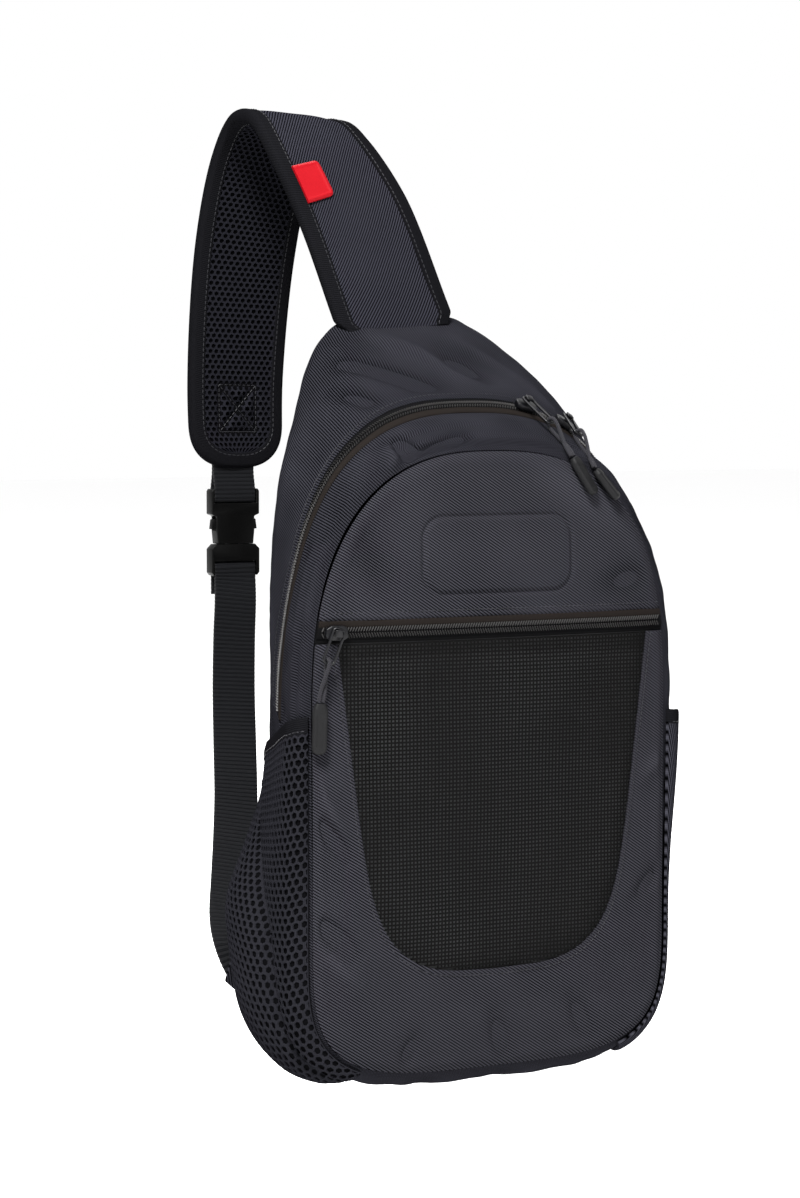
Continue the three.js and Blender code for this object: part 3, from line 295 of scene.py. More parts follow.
def folds(points: Array, table: tuple[Fold, ...]) -> Array:
    """Sum of the reliefs of several folds at the points."""
    return sum((fold.relief(points) for fold in table), np.zeros(points.shape[:-1]))


def ripple(points: Array, wavelength: float, height: float, seed: int) -> Array:
    """Uneven cloth: the mean of six sine waves in fixed random directions, about one wavelength long.

    Args:
        points: (..., 3) millimetres.
        wavelength: length of a wave in millimetres.
        height: size of the waves.
        seed: seed of the draw.
    Returns:
        Heights in millimetres.
    """
    draw = np.random.default_rng(seed)
    total = np.zeros(points.shape[:-1])
    for _ in range(6):
        way = unit(draw.normal(size=3)) * 2 * math.pi / (wavelength * draw.uniform(0.7, 1.5))
        total += np.sin(points @ way + draw.uniform(0, 2 * math.pi))
    return height * total / 2.4


@dataclass
class SmoothCurve:
    """Centripetal Catmull-Rom curve through points, as the frame's strap and webbing follow it."""

    through: Array
    points: Array = field(init=False)
    spans: int = field(init=False)
    shares: Array = field(init=False)
    lengths: Array = field(init=False)
    length: float = field(init=False)

    def __post_init__(self) -> None:
        """Adds a mirrored neighbour beyond each end and measures the curve."""
        first, last = self.through[:2], self.through[-2:]
        self.points = np.vstack((2 * first[0] - first[1], self.through, 2 * last[1] - last[0]))
        self.spans = len(self.through) - 1
        self.shares = np.linspace(0.0, 1.0, 601)
        self.lengths = running(self.at(self.shares))
        self.length = float(self.lengths[-1])

    def at(self, t: Array) -> Array:
        """Points at the curve's own parameter t in 0 to 1: cubic Hermite spans with centripetal tangents.

        Args:
            t: parameters.
        Returns:
            Points, one more axis than t.
        """
        place = np.clip(np.asarray(t, float), 0.0, 1.0) * self.spans
        span = np.minimum(place.astype(int), self.spans - 1)
        w = (place - span)[..., None]
        a, b, c, d = (self.points[span + i] for i in range(4))
        chord = [np.maximum(np.sqrt(np.linalg.norm(q - p, axis=-1)), 1e-2)[..., None]
                 for p, q in ((a, b), (b, c), (c, d))]
        first = ((b - a) / chord[0] - (c - a) / (chord[0] + chord[1]) + (c - b) / chord[1]) * chord[1]
        last = ((c - b) / chord[1] - (d - b) / (chord[1] + chord[2]) + (d - c) / chord[2]) * chord[1]
        return (b + w * first + w**2 * (-3 * b + 3 * c - 2 * first - last)
                + w**3 * (2 * b - 2 * c + first + last))

    def parameter(self, share: Array) -> Array:
        """Parameter t at a share of the arc length."""
        return np.interp(np.asarray(share) * self.length, self.lengths, self.shares)

    def tangent(self, t: Array) -> Array:
        """Unit tangent at parameter t, by central difference."""
        step = 1e-4
        return unit(self.at(np.clip(t + step, 0, 1)) - self.at(np.clip(t - step, 0, 1)))


@dataclass
class BodySurface:
    """Outer surface of the body: super-elliptic cross-sections swept from the back edge to the front.

    A point is found from a place round the section (0 is the bottom centre, 0.5 the top centre, the
    right side first) and a depth from the back edge.
    """

    step: float = 0.5
    samples: int = 240
    depths: Array = field(init=False)
    outlines: Array = field(init=False)

    def __post_init__(self) -> None:
        """Computes the half outline at every half millimetre of depth."""
        self.depths = np.arange(0.0, SEAM_DEPTH + self.step / 2, self.step)
        self.outlines = np.stack([self._half_outline(depth) for depth in self.depths])

    def _half_outline(self, depth: float) -> Array:
        """Right half (x, z) of the cross-section at a depth, evenly spaced from the bottom up.

        The lower and upper ends are quarter super-ellipses joined by a straight side; the upper one
        narrows by the taper, and the side draws in towards the hip.

        Args:
            depth: millimetres from the back edge.
        Returns:
            (samples + 1, 2) points.
        """
        share = depth / BAG_DEPTH
        row = [np.interp(share, SECTION_ROWS[:, 0], SECTION_ROWS[:, i]) for i in range(1, 10)]
        half, top, shoulder, hip, bottom, round_top, round_bottom, taper, draw = row
        half *= HALF_WIDTH
        a = np.linspace(0, math.pi / 2, 81)
        sin, cos = np.sin(a), np.maximum(np.cos(a), 0.0)
        low = cos ** (2 / round_bottom)
        lower = np.stack((half * sin ** (2 / round_bottom), -BAG_HEIGHT * (hip + (bottom - hip) * low)), 1)
        side_z = np.linspace(-BAG_HEIGHT * hip, -BAG_HEIGHT * shoulder, 7)
        side = np.stack((np.full(7, half), side_z), 1)
        lift = sin[1:] ** (2 / round_top)
        upper = np.stack((half * (1 - taper * lift**3) * cos[1:] ** (2 / round_top),
                          -BAG_HEIGHT * (shoulder + (top - shoulder) * lift)), 1)
        drawn = np.vstack((lower, side, upper))
        drawn[:, 0] *= 1 - draw * smooth(-drawn[:, 1] / BAG_HEIGHT, shoulder, hip)
        return evenly(drawn, self.samples)

    def _outline_at(self, sample: Array, depth: Array) -> Array:
        """(x, z) at a sample place and a depth, by two-way linear interpolation of the outlines.

        Args:
            sample, depth: places in samples and millimetres.
        Returns:
            (..., 2) points.
        """
        s = np.clip(sample, 0, self.samples)
        d = np.clip(depth / self.step, 0, len(self.depths) - 1)
        s0 = np.minimum(s.astype(int), self.samples - 1)
        d0 = np.minimum(d.astype(int), len(self.depths) - 2)
        ws, wd = (s - s0)[..., None], (d - d0)[..., None]
        near = self.outlines[d0, s0] * (1 - ws) + self.outlines[d0, s0 + 1] * ws
        far = self.outlines[d0 + 1, s0] * (1 - ws) + self.outlines[d0 + 1, s0 + 1] * ws
        return near * (1 - wd) + far * wd

    def at(self, around: Array, depth: Array) -> Array:
        """Points at places round the body and depths, with the peak leant and tilted.

        Args:
            around, depth: places round the body and millimetres.
        Returns:
            (..., 3) points.
        """
        around, depth = np.broadcast_arrays(np.asarray(around, float), np.asarray(depth, float))
        turn = around % 1.0
        right = turn <= 0.5
        xz = self._outline_at(np.where(right, turn * 2, 2 - turn * 2) * self.samples, depth)
        near = smooth(xz[..., 1], -PEAK_HEIGHT, 0)
        x = np.where(right, xz[..., 0], -xz[..., 0]) - PEAK_SHIFT * near
        z = xz[..., 1] + PEAK_TILT * near * (x - STRAP_BASE[0]) / PEAK_SPAN
        return np.stack((x, -depth, z), axis=-1)

    def normal(self, around: Array, depth: Array) -> Array:
        """Outward unit normals: the way round crossed with the way forward.

        Args:
            around, depth: places round the body and millimetres.
        Returns:
            (..., 3) unit vectors.
        """
        depth = np.asarray(depth, float)
        along = self.at(around + 0.004, depth) - self.at(around - 0.004, depth)
        low, high = np.clip(depth - 0.5, 0, SEAM_DEPTH), np.clip(depth + 0.5, 0, SEAM_DEPTH)
        return unit(np.cross(along, self.at(around, high) - self.at(around, low)))

    def _line(self, depth: float) -> Array:
        """The right half (x, z) of the outline at a depth."""
        return self._outline_at(np.arange(self.samples + 1.0), np.full(self.samples + 1, depth))

    def place_below(self, depth: float, below: float) -> float:
        """Place round the body, on its right side, where the surface is so far below the peak."""
        line = self._line(depth)
        return float(np.interp(-below, line[:, 1], np.arange(self.samples + 1.0))) / self.samples / 2

    def inset_outline(self, depth: float, inset: float) -> Array:
        """Right half of the outline at a depth, moved inwards by inset.

        Args:
            depth, inset: millimetres.
        Returns:
            (samples + 1, 2) points.
        """
        line = self._line(depth)
        along = unit(np.vstack((line[1:], line[-1:])) - np.vstack((line[:1], line[:-1])))
        moved = line + inset * np.stack((-along[:, 1], along[:, 0]), 1)
        moved[:, 0] = np.maximum(moved[:, 0], 0.0)
        return moved


BODY = BodySurface()
ZIP_START = BODY.place_below(ZIP_DEPTH, ZIP_END)


def zip_middle(around: Array) -> Array:
    """Depth of the teeth at a place round the body: the zip sweeps back towards its two ends."""
    height = -BODY.at(around, np.full_like(around, ZIP_DEPTH))[..., 2]
    return ZIP_DEPTH - ZIP_SWEEP * smooth(height, ZIP_SWEEP_TOP, ZIP_END)


class Weave(Enum):
    """The surface structures that the finishes use."""

    TWILL = "fine diagonal ribs"
    GROSGRAIN = "ribs across a tape"
    KNIT = "small knitted loops"
    SATIN = "herringbone tape"
    BRAID = "braided cord"
    GRAIN = "moulded grain"


@dataclass(frozen=True)
class Finish:
    """One finish: its colour, gloss and woven or moulded structure.

    pitch is the structure's repeat in millimetres, relief its height in millimetres and contrast how
    much darker its hollows are painted: painted shade in a weave's hollows, a random tone on a moulded
    grain. slant weighs the two measures that a twill's ribs run across.
    """

    name: str
    slot: str
    color: tuple[float, float, float]
    roughness: float
    weave: Weave
    pitch: float
    relief: float
    contrast: float = 0.35
    sheen: float = 0.0
    metallic: float = 0.0
    mottle: float = 0.18
    specular: float = 0.0
    slant: tuple[float, float] = (0.65, 1.0)

    def material(self) -> bpy.types.Material:
        """Material with colour, gloss and bump worked out from the weave, and painted fold shade in its
        colour, made once.

        Returns:
            The material.
        """
        known = bpy.data.materials.get(self.name)
        if known is not None:
            return known
        material = bpy.data.materials.new(self.name)
        material.use_nodes = True
        kit = NodeKit(material.node_tree)
        shader = kit.shader
        height = self._height(kit)
        mottled = kit.noise(18.0 if self.weave is not Weave.GRAIN else 60.0)
        # painted shade in the weave's hollows (a random tone on a moulded grain), plus the mottle
        light = kit.add(kit.mul(height, self.contrast), kit.mul(mottled, self.mottle))
        light = kit.add(light, 1.0 - 0.5 * (self.contrast + self.mottle))  # 1 on average
        # painted shade in the folds' valleys and painted light on their ridges, read from the points'
        # attribute
        light = kit.add(light, kit.attribute(FOLD_SHADE))
        kit.link(kit.scaled_color(self.color, light), shader.inputs["Base Color"])
        rough = kit.add(kit.mul(mottled, 0.14), self.roughness - 0.07)
        kit.link(rough, shader.inputs["Roughness"])
        shader.inputs["Metallic"].default_value = self.metallic
        shader.inputs["Specular IOR Level"].default_value = self.specular
        shader.inputs["Sheen Weight"].default_value = self.sheen
        kit.bump(height, self.relief)
        material.diffuse_color = (*self.color, 1.0)
        return material

    def _height(self, kit: NodeKit) -> Socket:
        """Height of the weave, 0 to 1, as a formula of the piece's own measures in millimetres.

        Args:
            kit: the material's node helpers.
        Returns:
            Socket of the height.
        """
        if self.weave is Weave.GRAIN:
            return kit.noise(1.0 / (self.pitch * MM), detail=2.0)
        u, v = kit.weave_uv()
        if self.weave is Weave.TWILL:
            a, b = self.slant
            ribs = kit.wave(kit.add(kit.mul(u, a), kit.mul(v, b)), self.pitch * math.hypot(a, b))
            threads = kit.wave(kit.add(kit.mul(u, b), kit.mul(v, -a)), self.pitch * 0.8)
            return kit.mul(ribs, kit.add(kit.mul(threads, 0.35), 0.65))
        if self.weave is Weave.GROSGRAIN:
            ribs = kit.wave(v, self.pitch)
            return kit.mul(ribs, kit.add(kit.mul(kit.wave(u, self.pitch * 0.7), 0.2), 0.8))
        if self.weave is Weave.KNIT:
            return kit.mul(kit.wave(u, self.pitch), kit.wave(kit.add(v, kit.mul(u, 0.5)), self.pitch * 0.8))
        if self.weave is Weave.SATIN:
            slant = kit.absolute(kit.add(kit.fraction(kit.mul(u, 0.25)), -0.5))
            return kit.wave(kit.add(v, kit.mul(slant, 3.0)), self.pitch)
        return kit.wave(kit.add(kit.absolute(kit.mul(u, 0.8)), v), self.pitch)


@dataclass
class NodeKit:
    """Small helpers that add and join shader nodes."""

    tree: bpy.types.NodeTree
    shader: bpy.types.ShaderNode = field(init=False)

    def __post_init__(self) -> None:
        """Starts from the material's own principled shader."""
        self.shader = self.tree.nodes["Principled BSDF"]

    def link(self, source: Socket, target: Socket) -> None:
        """Joins two sockets."""
        self.tree.links.new(source, target)

    def _math(self, kind: str, a: Value, b: Value | None = None) -> Socket:
        """A math node on sockets or numbers.

        Args:
            kind: the node's operation.
            a: socket or number.
            b: socket, number or None.
        Returns:
            Its result.
        """
        node = self.tree.nodes.new("ShaderNodeMath")
        node.operation = kind
        for value, slot in ((a, 0), (b, 1)):
            if isinstance(value, Socket):
                self.link(value, node.inputs[slot])
            elif value is not None:
                node.inputs[slot].default_value = float(value)
        return node.outputs[0]

    def add(self, a: Value, b: Value) -> Socket:
        """a plus b."""
        return self._math("ADD", a, b)

    def mul(self, a: Value, b: Value) -> Socket:
        """a times b."""
        return self._math("MULTIPLY", a, b)

    def absolute(self, a: Value) -> Socket:
        """a without its sign."""
        return self._math("ABSOLUTE", a)

    def fraction(self, a: Value) -> Socket:
        """a minus the whole number below it."""
        return self._math("FRACT", a)

    def wave(self, value: Value, pitch: float) -> Socket:
        """Half plus half the sine of the value, once per pitch."""
        turned = self._math("SINE", self.mul(value, 2 * math.pi / pitch))
        return self.add(self.mul(turned, 0.5), 0.5)

    def weave_uv(self) -> tuple[Socket, Socket]:
        """The piece's own two measures along its surface, in millimetres.

        Returns:
            Sockets of both measures.
        """
        source = self.tree.nodes.new("ShaderNodeUVMap")
        source.uv_map = "weave"
        parts = self.tree.nodes.new("ShaderNodeSeparateXYZ")
        self.link(source.outputs[0], parts.inputs[0])
        return parts.outputs[0], parts.outputs[1]

    def noise(self, scale: float, detail: float = 3.0) -> Socket:
        """Noise on object coordinates, scale in repeats per metre.

        Args:
            scale: repeats per metre.
            detail: octaves.
        Returns:
            Socket of the noise, 0 to 1.
        """
        place = self.tree.nodes.new("ShaderNodeTexCoord")
        node = self.tree.nodes.new("ShaderNodeTexNoise")
        node.inputs["Scale"].default_value = scale
        node.inputs["Detail"].default_value = detail
        self.link(place.outputs["Object"], node.inputs["Vector"])
        return node.outputs[0]

    def attribute(self, name: str) -> Socket:
        """A piece's own attribute, 0 where it has none.

        Args:
            name: the attribute's name.
        Returns:
            Socket of its value.
        """
        node = self.tree.nodes.new("ShaderNodeAttribute")
        node.attribute_name = name
        return node.outputs["Fac"]

    def scaled_color(self, color: tuple[float, float, float],
                     light: Socket) -> Socket:
        """The colour times a brightness.

        Args:
            color: red, green and blue.
            light: the brightness.
        Returns:
            Socket of the colour.
        """
        node = self.tree.nodes.new("ShaderNodeVectorMath")
        node.operation = "SCALE"
        node.inputs[0].default_value = color
        self.link(light, node.inputs["Scale"])
        return node.outputs[0]

    def bump(self, height: Socket, relief: float) -> None:
        """Bump of the height, with its relief in millimetres.

        Args:
            height: height, 0 to 1.
            relief: millimetres at height 1.
        """
        node = self.tree.nodes.new("ShaderNodeBump")
        node.inputs["Distance"].default_value = relief * MM
        self.link(height, node.inputs["Height"])
        self.link(node.outputs[0], self.shader.inputs["Normal"])


SHELL_CLOTH = Finish("shell twill", "shell_cloth", (0.0062, 0.0062, 0.0077), 0.85, Weave.TWILL, 1.6, 0.12,
                     2.0, slant=(1.0, 0.12))
STRAP_CLOTH = Finish("strap twill", "shell_cloth", (0.0068, 0.0068, 0.0089), 0.85, Weave.TWILL, 1.5, 0.12,
                     2.0, slant=(1.0, -0.9))
BACK_CLOTH = Finish("back panel knit", "shell_cloth", (0.0088, 0.0088, 0.0112), 0.9, Weave.KNIT, 1.6, 0.15,
                    0.9)
# The same cloth as the shell twill, coloured lighter: painted light for the front's lit tone.
PANEL_CLOTH = Finish("panel twill", "shell_cloth", (0.0092, 0.0091, 0.0110), 0.85, Weave.TWILL, 1.5, 0.12,
                     2.0)
POCKET_CLOTH = Finish("pocket twill", "pocket_cloth", (0.0083, 0.0083, 0.0104), 0.85, Weave.TWILL, 1.5, 0.12,
                      2.0, slant=(1.0, 0.3))
AIR_MESH = Finish("air mesh", "mesh_cloth", (0.0064, 0.0064, 0.0079), 0.8, Weave.KNIT, 0.8, 0.12, 0.6)
LINING_MESH = Finish("lining mesh", "mesh_cloth", (0.0049, 0.0049, 0.0064), 0.8, Weave.KNIT, 0.7, 0.08, 0.4)
MESH_BACK = Finish("mesh backing", "mesh_cloth", (0.0012, 0.0012, 0.0014), 0.95, Weave.KNIT, 0.9, 0.05, 0.4)
# Its strong mottle paints soft patches of light and shade across the backing.
WINDOW_BACK = Finish("window backing", "mesh_cloth", (0.0302, 0.0302, 0.0309), 0.9, Weave.KNIT, 1.1, 0.1,
                     0.3, mottle=1.2, specular=0.05)
STRAND = Finish("coated strands", "mesh_cloth", (0.0012, 0.0012, 0.0012), 0.5, Weave.GRAIN, 0.8, 0.03, 0.3,
                specular=0.018)
TAPE = Finish("binding tape", "binding_tape", (0.0023, 0.0023, 0.0027), 0.8, Weave.GROSGRAIN, 1.2, 0.14, 0.8)
WEBBING_TAPE = Finish("webbing", "binding_tape", (0.0010, 0.0011, 0.0015), 0.6, Weave.GROSGRAIN, 0.87, 0.12,
                      0.8, sheen=0.02, specular=0.04)
THREAD = Finish("seam thread", "binding_tape", (0.0045, 0.0045, 0.0056), 0.6, Weave.GRAIN, 0.5, 0.03,
                specular=0.1)
ZIP_TAPE = Finish("zip tape", "zip_tape", (0.0018, 0.0018, 0.0019), 0.75, Weave.SATIN, 0.7, 0.05, 0.5)
ZIP_FACING = Finish("satin zip facing", "zip_tape", (0.0047, 0.0039, 0.0035), 0.75, Weave.SATIN, 0.8, 0.07,
                    0.6)
# The teeth are black; their pale grey colour is a painted highlight.
ZIP_TEETH = Finish("zip teeth", "zip_tape", (0.0141, 0.0136, 0.0134), 0.42, Weave.GRAIN, 0.9, 0.02,
                   specular=0.14)
PLASTIC = Finish("moulded plastic", "buckle_plastic", (0.0005, 0.0005, 0.0005), 0.42, Weave.GRAIN, 0.35,
                 0.02, specular=0.05)
METAL = Finish("painted slider", "slider_metal", (0.0010, 0.0010, 0.0014), 0.36, Weave.GRAIN, 2.0, 0.02, 0.3,
               metallic=0.2, specular=0.14)
RUBBER = Finish("grip rubber", "grip_rubber", (0.0016, 0.0016, 0.0018), 0.6, Weave.GRAIN, 0.6, 0.04, 0.25,
                specular=0.08)
PULL_CORD = Finish("pull cord", "binding_tape", (0.0051, 0.0049, 0.0063), 0.75, Weave.BRAID, 1.3, 0.16, 0.9,
                   sheen=0.02, specular=0.08)
RED_RUBBER = Finish("red rubber", "tab_rubber", (0.1054, 0.0014, 0.0029), 0.45, Weave.GRAIN, 0.7, 0.02, 0.08,
                    mottle=0.08, specular=0.04)


def linked(name: str, data: bpy.types.ID) -> Piece:
    """A new object in the scene.

    Args:
        name: the object's name.
        data: its mesh, camera or light.
    Returns:
        The object.
    """
    made = bpy.data.objects.new(name, data)
    bpy.context.scene.collection.objects.link(made)
    return made


def build(name: str, points: Array, faces: Array, finish: Finish, uv: Array | None = None,
          weld: bool = False, sharp: float = 50.0, folded: Array | None = None,
          node: str | None = None) -> Piece:
    """Makes a closed object from points in the maker's frame and quads (a repeated corner is a triangle).

    Args:
        name: the piece's name.
        points: (N, 3) millimetres.
        faces: (M, 4) point numbers.
        finish: its finish.
        uv: (M, 4, 2) measures along the surface in millimetres at each face's corners.
        weld: whether coinciding points are merged and collapsed faces dropped.
        sharp: angle in degrees above which an edge stays sharp.
        folded: (N,) height of the folds in millimetres; their valleys get painted shade and their ridges
            painted light.
        node: the frame's node that it replaces, or None for an added piece.
    Returns:
        The object, riding on the part's one body.
    """
    folded = np.zeros(len(points)) if folded is None else folded
    if weld:
        keys = np.round(points, 3)
        _, first, back = np.unique(keys, axis=0, return_index=True, return_inverse=True)
        points, folded, faces = points[first], folded[first], back.reshape(-1)[faces]
    same = faces == np.roll(faces, -1, axis=1)
    crossed = (faces[:, 0] == faces[:, 2]) | (faces[:, 1] == faces[:, 3])
    keep = (same.sum(axis=1) <= 1) & ~crossed
    faces, same = faces[keep], same[keep]
    uv = np.zeros((len(faces), 4, 2)) if uv is None else uv[keep]
    a, b, c, d = (points[faces[:, i]] for i in range(4))
    volume = np.einsum("ij,ij->", a, np.cross(b, c)) + np.einsum("ij,ij->", a, np.cross(c, d))
    if volume < 0:
        faces, same, uv = faces[:, ::-1], np.roll(same[:, ::-1], -1, axis=1), uv[:, ::-1]
    corners = ~same
    sizes = corners.sum(axis=1)
    mesh = bpy.data.meshes.new(name)
    mesh.vertices.add(len(points))
    mesh.vertices.foreach_set("co", ((points + ROW_SHIFT) * MM).astype(np.float32).ravel())
    mesh.loops.add(int(sizes.sum()))
    mesh.loops.foreach_set("vertex_index", faces[corners].astype(np.int32))
    mesh.polygons.add(len(faces))
    mesh.polygons.foreach_set("loop_start", np.concatenate(([0], np.cumsum(sizes)[:-1])).astype(np.int32))
    mesh.update(calc_edges=True)
    shade = mesh.attributes.new(FOLD_SHADE, "FLOAT", "POINT")
    shade.data.foreach_set("value", np.clip(folded / FOLD_DEPTH, *FOLD_RANGE).astype(np.float32))
    layer = mesh.uv_layers.new(name="weave")
    layer.uv.foreach_set("vector", uv[corners].astype(np.float32).ravel())
    mesh.polygons.foreach_set("use_smooth", np.ones(len(faces), bool))
    mesh.set_sharp_from_angle(angle=math.radians(sharp))
    mesh.validate()
    piece = linked(name, mesh)
    mesh.materials.append(finish.material())
    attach(piece, "root")
    if node is not None:
        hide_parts(node)
    log.info("%s: %d faces", name, len(mesh.polygons))
    return piece


def grid_faces(rows: int, columns: int, first: int, wrapped: bool) -> Array:
    """Quads of a grid of points numbered row by row from first.

    Args:
        rows, columns: size of the grid.
        first: number of the first point.
        wrapped: whether the last column joins the first.
    Returns:
        (M, 4) point numbers.
    """
    spans = columns if wrapped else columns - 1
    r, c = np.meshgrid(np.arange(rows - 1), np.arange(spans), indexing="ij")
    here, beside = c, (c + 1) % columns
    quads = np.stack((r * columns + here, r * columns + beside, (r + 1) * columns + beside,
                      (r + 1) * columns + here), axis=-1)
    return first + quads.reshape(-1, 4)


def grid_uv(uv: Array) -> Array:
    """Corner measures of the quads of a grid of measures."""
    quads = np.stack((uv[:-1, :-1], uv[:-1, 1:], uv[1:, 1:], uv[1:, :-1]), axis=2)
    return quads.reshape(-1, 4, 2)


def measured(points: Array, wrapped: bool = False) -> Array:
    """Measures along both ways of a grid of points, in millimetres from its middle row and column.

    Each measure is the running sum of the distances between neighbouring points.

    Args:
        points: (R, C, 3) grid.
        wrapped: whether the last column joins the first.
    Returns:
        (R, C, 2) measures, with one more column when wrapped.
    """
    grid = np.concatenate((points, points[:, :1]), axis=1) if wrapped else points
    u = np.zeros(grid.shape[:2])
    v = np.zeros(grid.shape[:2])
    u[:, 1:] = np.cumsum(np.linalg.norm(np.diff(grid, axis=1), axis=2), axis=1)
    v[1:] = np.cumsum(np.linalg.norm(np.diff(grid, axis=0), axis=2), axis=0)
    u -= u[:, u.shape[1] // 2][:, None]
    v -= v[v.shape[0] // 2][None, :]
    return np.stack((u, v), axis=-1)


def two_faced(name: str, outer: Array, inner: Array, finish: Finish, uv: Array | None = None,
              wrapped: bool = False, weld: bool = False, folded: Array | None = None,
              node: str | None = None) -> Piece:
    """Closed sheet between two equal grids of points.

    Args:
        name, finish, node: as in build.
        outer: (R, C, 3) face that shows.
        inner: (R, C, 3) face behind it.
        uv: (R, C, 2) measures, or (R, C + 1, 2) when wrapped; worked out from outer when left out.
        wrapped: whether the last column joins the first.
        weld: whether coinciding points are merged.
        folded: (R, C) height of the folds on the outer face in millimetres, for their painted shade and
            light.
    Returns:
        The object.
    """
    rows, columns = outer.shape[:2]
    count = rows * columns
    heights = None if folded is None else np.concatenate((folded.ravel(), np.zeros(count)))
    uv = measured(outer, wrapped) if uv is None else uv
    faces = [grid_faces(rows, columns, 0, wrapped), grid_faces(rows, columns, count, wrapped)[:, ::-1]]
    sides = grid_uv(uv)
    maps = [sides, sides[:, ::-1]]
    spans = np.arange(columns if wrapped else columns - 1)
    for row in (0, rows - 1):  # the rims turn the other way at the two ends
        here, beside = row * columns + spans, row * columns + (spans + 1) % columns
        rim = np.stack((here, beside, beside + count, here + count), axis=1)
        faces.append(rim if row == 0 else rim[:, ::-1])
        edge = np.stack((uv[row, :-1], uv[row, 1:], uv[row, 1:], uv[row, :-1]), axis=1)
        maps.append(edge if row == 0 else edge[:, ::-1])
    if not wrapped:
        steps = np.arange(rows - 1)
        for column in (0, columns - 1):
            here, above = steps * columns + column, (steps + 1) * columns + column
            rim = np.stack((here, above, above + count, here + count), axis=1)
            faces.append(rim[:, ::-1] if column == 0 else rim)
            edge = np.stack((uv[:-1, column], uv[1:, column], uv[1:, column], uv[:-1, column]), axis=1)
            maps.append(edge[:, ::-1] if column == 0 else edge)
    points = np.concatenate((outer.reshape(-1, 3), inner.reshape(-1, 3)))
    return build(name, points, np.concatenate(faces), finish, np.concatenate(maps), weld, folded=heights,
                 node=node)


def tube(name: str, rings: Array, centre: Array, profile: Array, run: Array, finish: Finish, node: str,
         closed: bool = False) -> Piece:
    """Rings of points joined to a tube, with a fan of triangles over each open end.

    Args:
        name, finish, node: as in build.
        rings: (N, P, 3) points.
        centre: (N, 3) middles of the rings, whose first and last carry the fans.
        profile: (P, 2) outline that gives the measure round a ring.
        run: (N,) measure along the tube.
        closed: whether the last ring joins the first.
    Returns:
        The object.
    """
    rows, columns = rings.shape[:2]
    edge = running(np.vstack((profile, profile[:1])))
    uv = np.stack(np.broadcast_arrays(edge[None, :], run[:, None]), axis=-1)
    faces, maps = [grid_faces(rows, columns, 0, True)], [grid_uv(uv)]
    points = rings.reshape(-1, 3)
    ring = np.arange(columns)
    beyond = (ring + 1) % columns
    if closed:
        last = (rows - 1) * columns
        faces.append(np.stack((last + ring, last + beyond, beyond, ring), axis=1))
        maps.append(np.repeat(uv[-1, :-1][:, None], 4, axis=1))
    else:
        points = np.vstack((points, centre[:1], centre[-1:]))
        for row, tip, flip in ((0, len(points) - 2, True), (rows - 1, len(points) - 1, False)):
            tips = np.full(columns, tip)
            cap = np.stack((row * columns + ring, row * columns + beyond, tips, tips), axis=1)
            faces.append(cap[:, ::-1] if flip else cap)
            maps.append(np.zeros((columns, 4, 2)))
    return build(name, points, np.concatenate(faces), finish, np.concatenate(maps), node=node)


def carried(name: str, centre: Array, across: Array, out: Array, profile: Array, finish: Finish,
            node: str, closed: bool = False) -> Piece:
    """A profile carried along a path: each point is centre + x across + y out, capped at open ends.

    Args:
        name, finish, node: as in build.
        centre: (N, 3) path.
        across: (N, 3) unit vectors of the profile's x.
        out: (N, 3) unit vectors of its y.
        profile: (P, 2) closed outline in millimetres.
        closed: whether the path closes on itself.
    Returns:
        The object.
    """
    rings = centre[:, None] + profile[None, :, :1] * across[:, None] + profile[None, :, 1:] * out[:, None]
    return tube(name, rings, centre, profile, running(centre), finish, node, closed)


def round_profile(width: float, thick: float, power: float = 2.0, count: int = 12) -> Array:
    """Super-ellipse outline of a width and thickness: |x/a|^p + |y/b|^p = 1.

    Args:
        width, thick: sizes along x and y.
        power: p, 2 for an ellipse.
        count: number of points.
    Returns:
        (count, 2) outline.
    """
    a = np.linspace(0, 2 * math.pi, count, endpoint=False)
    x = np.sign(np.cos(a)) * np.abs(np.cos(a)) ** (2 / power)
    y = np.sign(np.sin(a)) * np.abs(np.sin(a)) ** (2 / power)
    return np.stack((x * width / 2, y * thick / 2), 1)


BAR_RINGS = np.array(((-0.5, 0.35), (-0.3, 1.0), (0.3, 1.0), (0.5, 0.35)))


def bars(name: str, centre: Array, along: Array, out: Array, size: tuple[float, float, float],
         finish: Finish) -> Piece:
    """Many small bars with tapered ends, such as stitches or zip teeth.

    Each bar is four diamond rings along its length; a ring's half width and thickness are the size
    times the ring's share.

    Args:
        name, finish: as in build.
        centre: (N, 3) middles.
        along: (N, 3) directions of their lengths.
        out: (N, 3) directions away from the cloth.
        size: length, width and thickness in millimetres.
    Returns:
        The object.
    """
    along = unit(along)
    across = unit(np.cross(out, along))
    up = np.cross(along, across)
    length, width, thick = size
    corner = np.array(((0.5, 0.0), (0.0, 0.5), (-0.5, 0.0), (0.0, -0.5)))
    ring = BAR_RINGS[:, None, :]
    local = np.concatenate((np.broadcast_to(ring[..., :1] * length, (4, 4, 1)),
                            ring[..., 1:] * corner[None, :, :1] * width,
                            ring[..., 1:] * corner[None, :, 1:] * thick), axis=2).reshape(-1, 3)
    axes = np.stack((along, across, up), axis=1)
    points = centre[:, None] + np.einsum("pk,nkj->npj", local, axes)
    one = np.vstack((grid_faces(4, 4, 0, True), ((3, 2, 1, 0), (12, 13, 14, 15))))
    faces = (one[None] + 16 * np.arange(len(centre))[:, None, None]).reshape(-1, 4)
    return build(name, points.reshape(-1, 3), faces, finish)


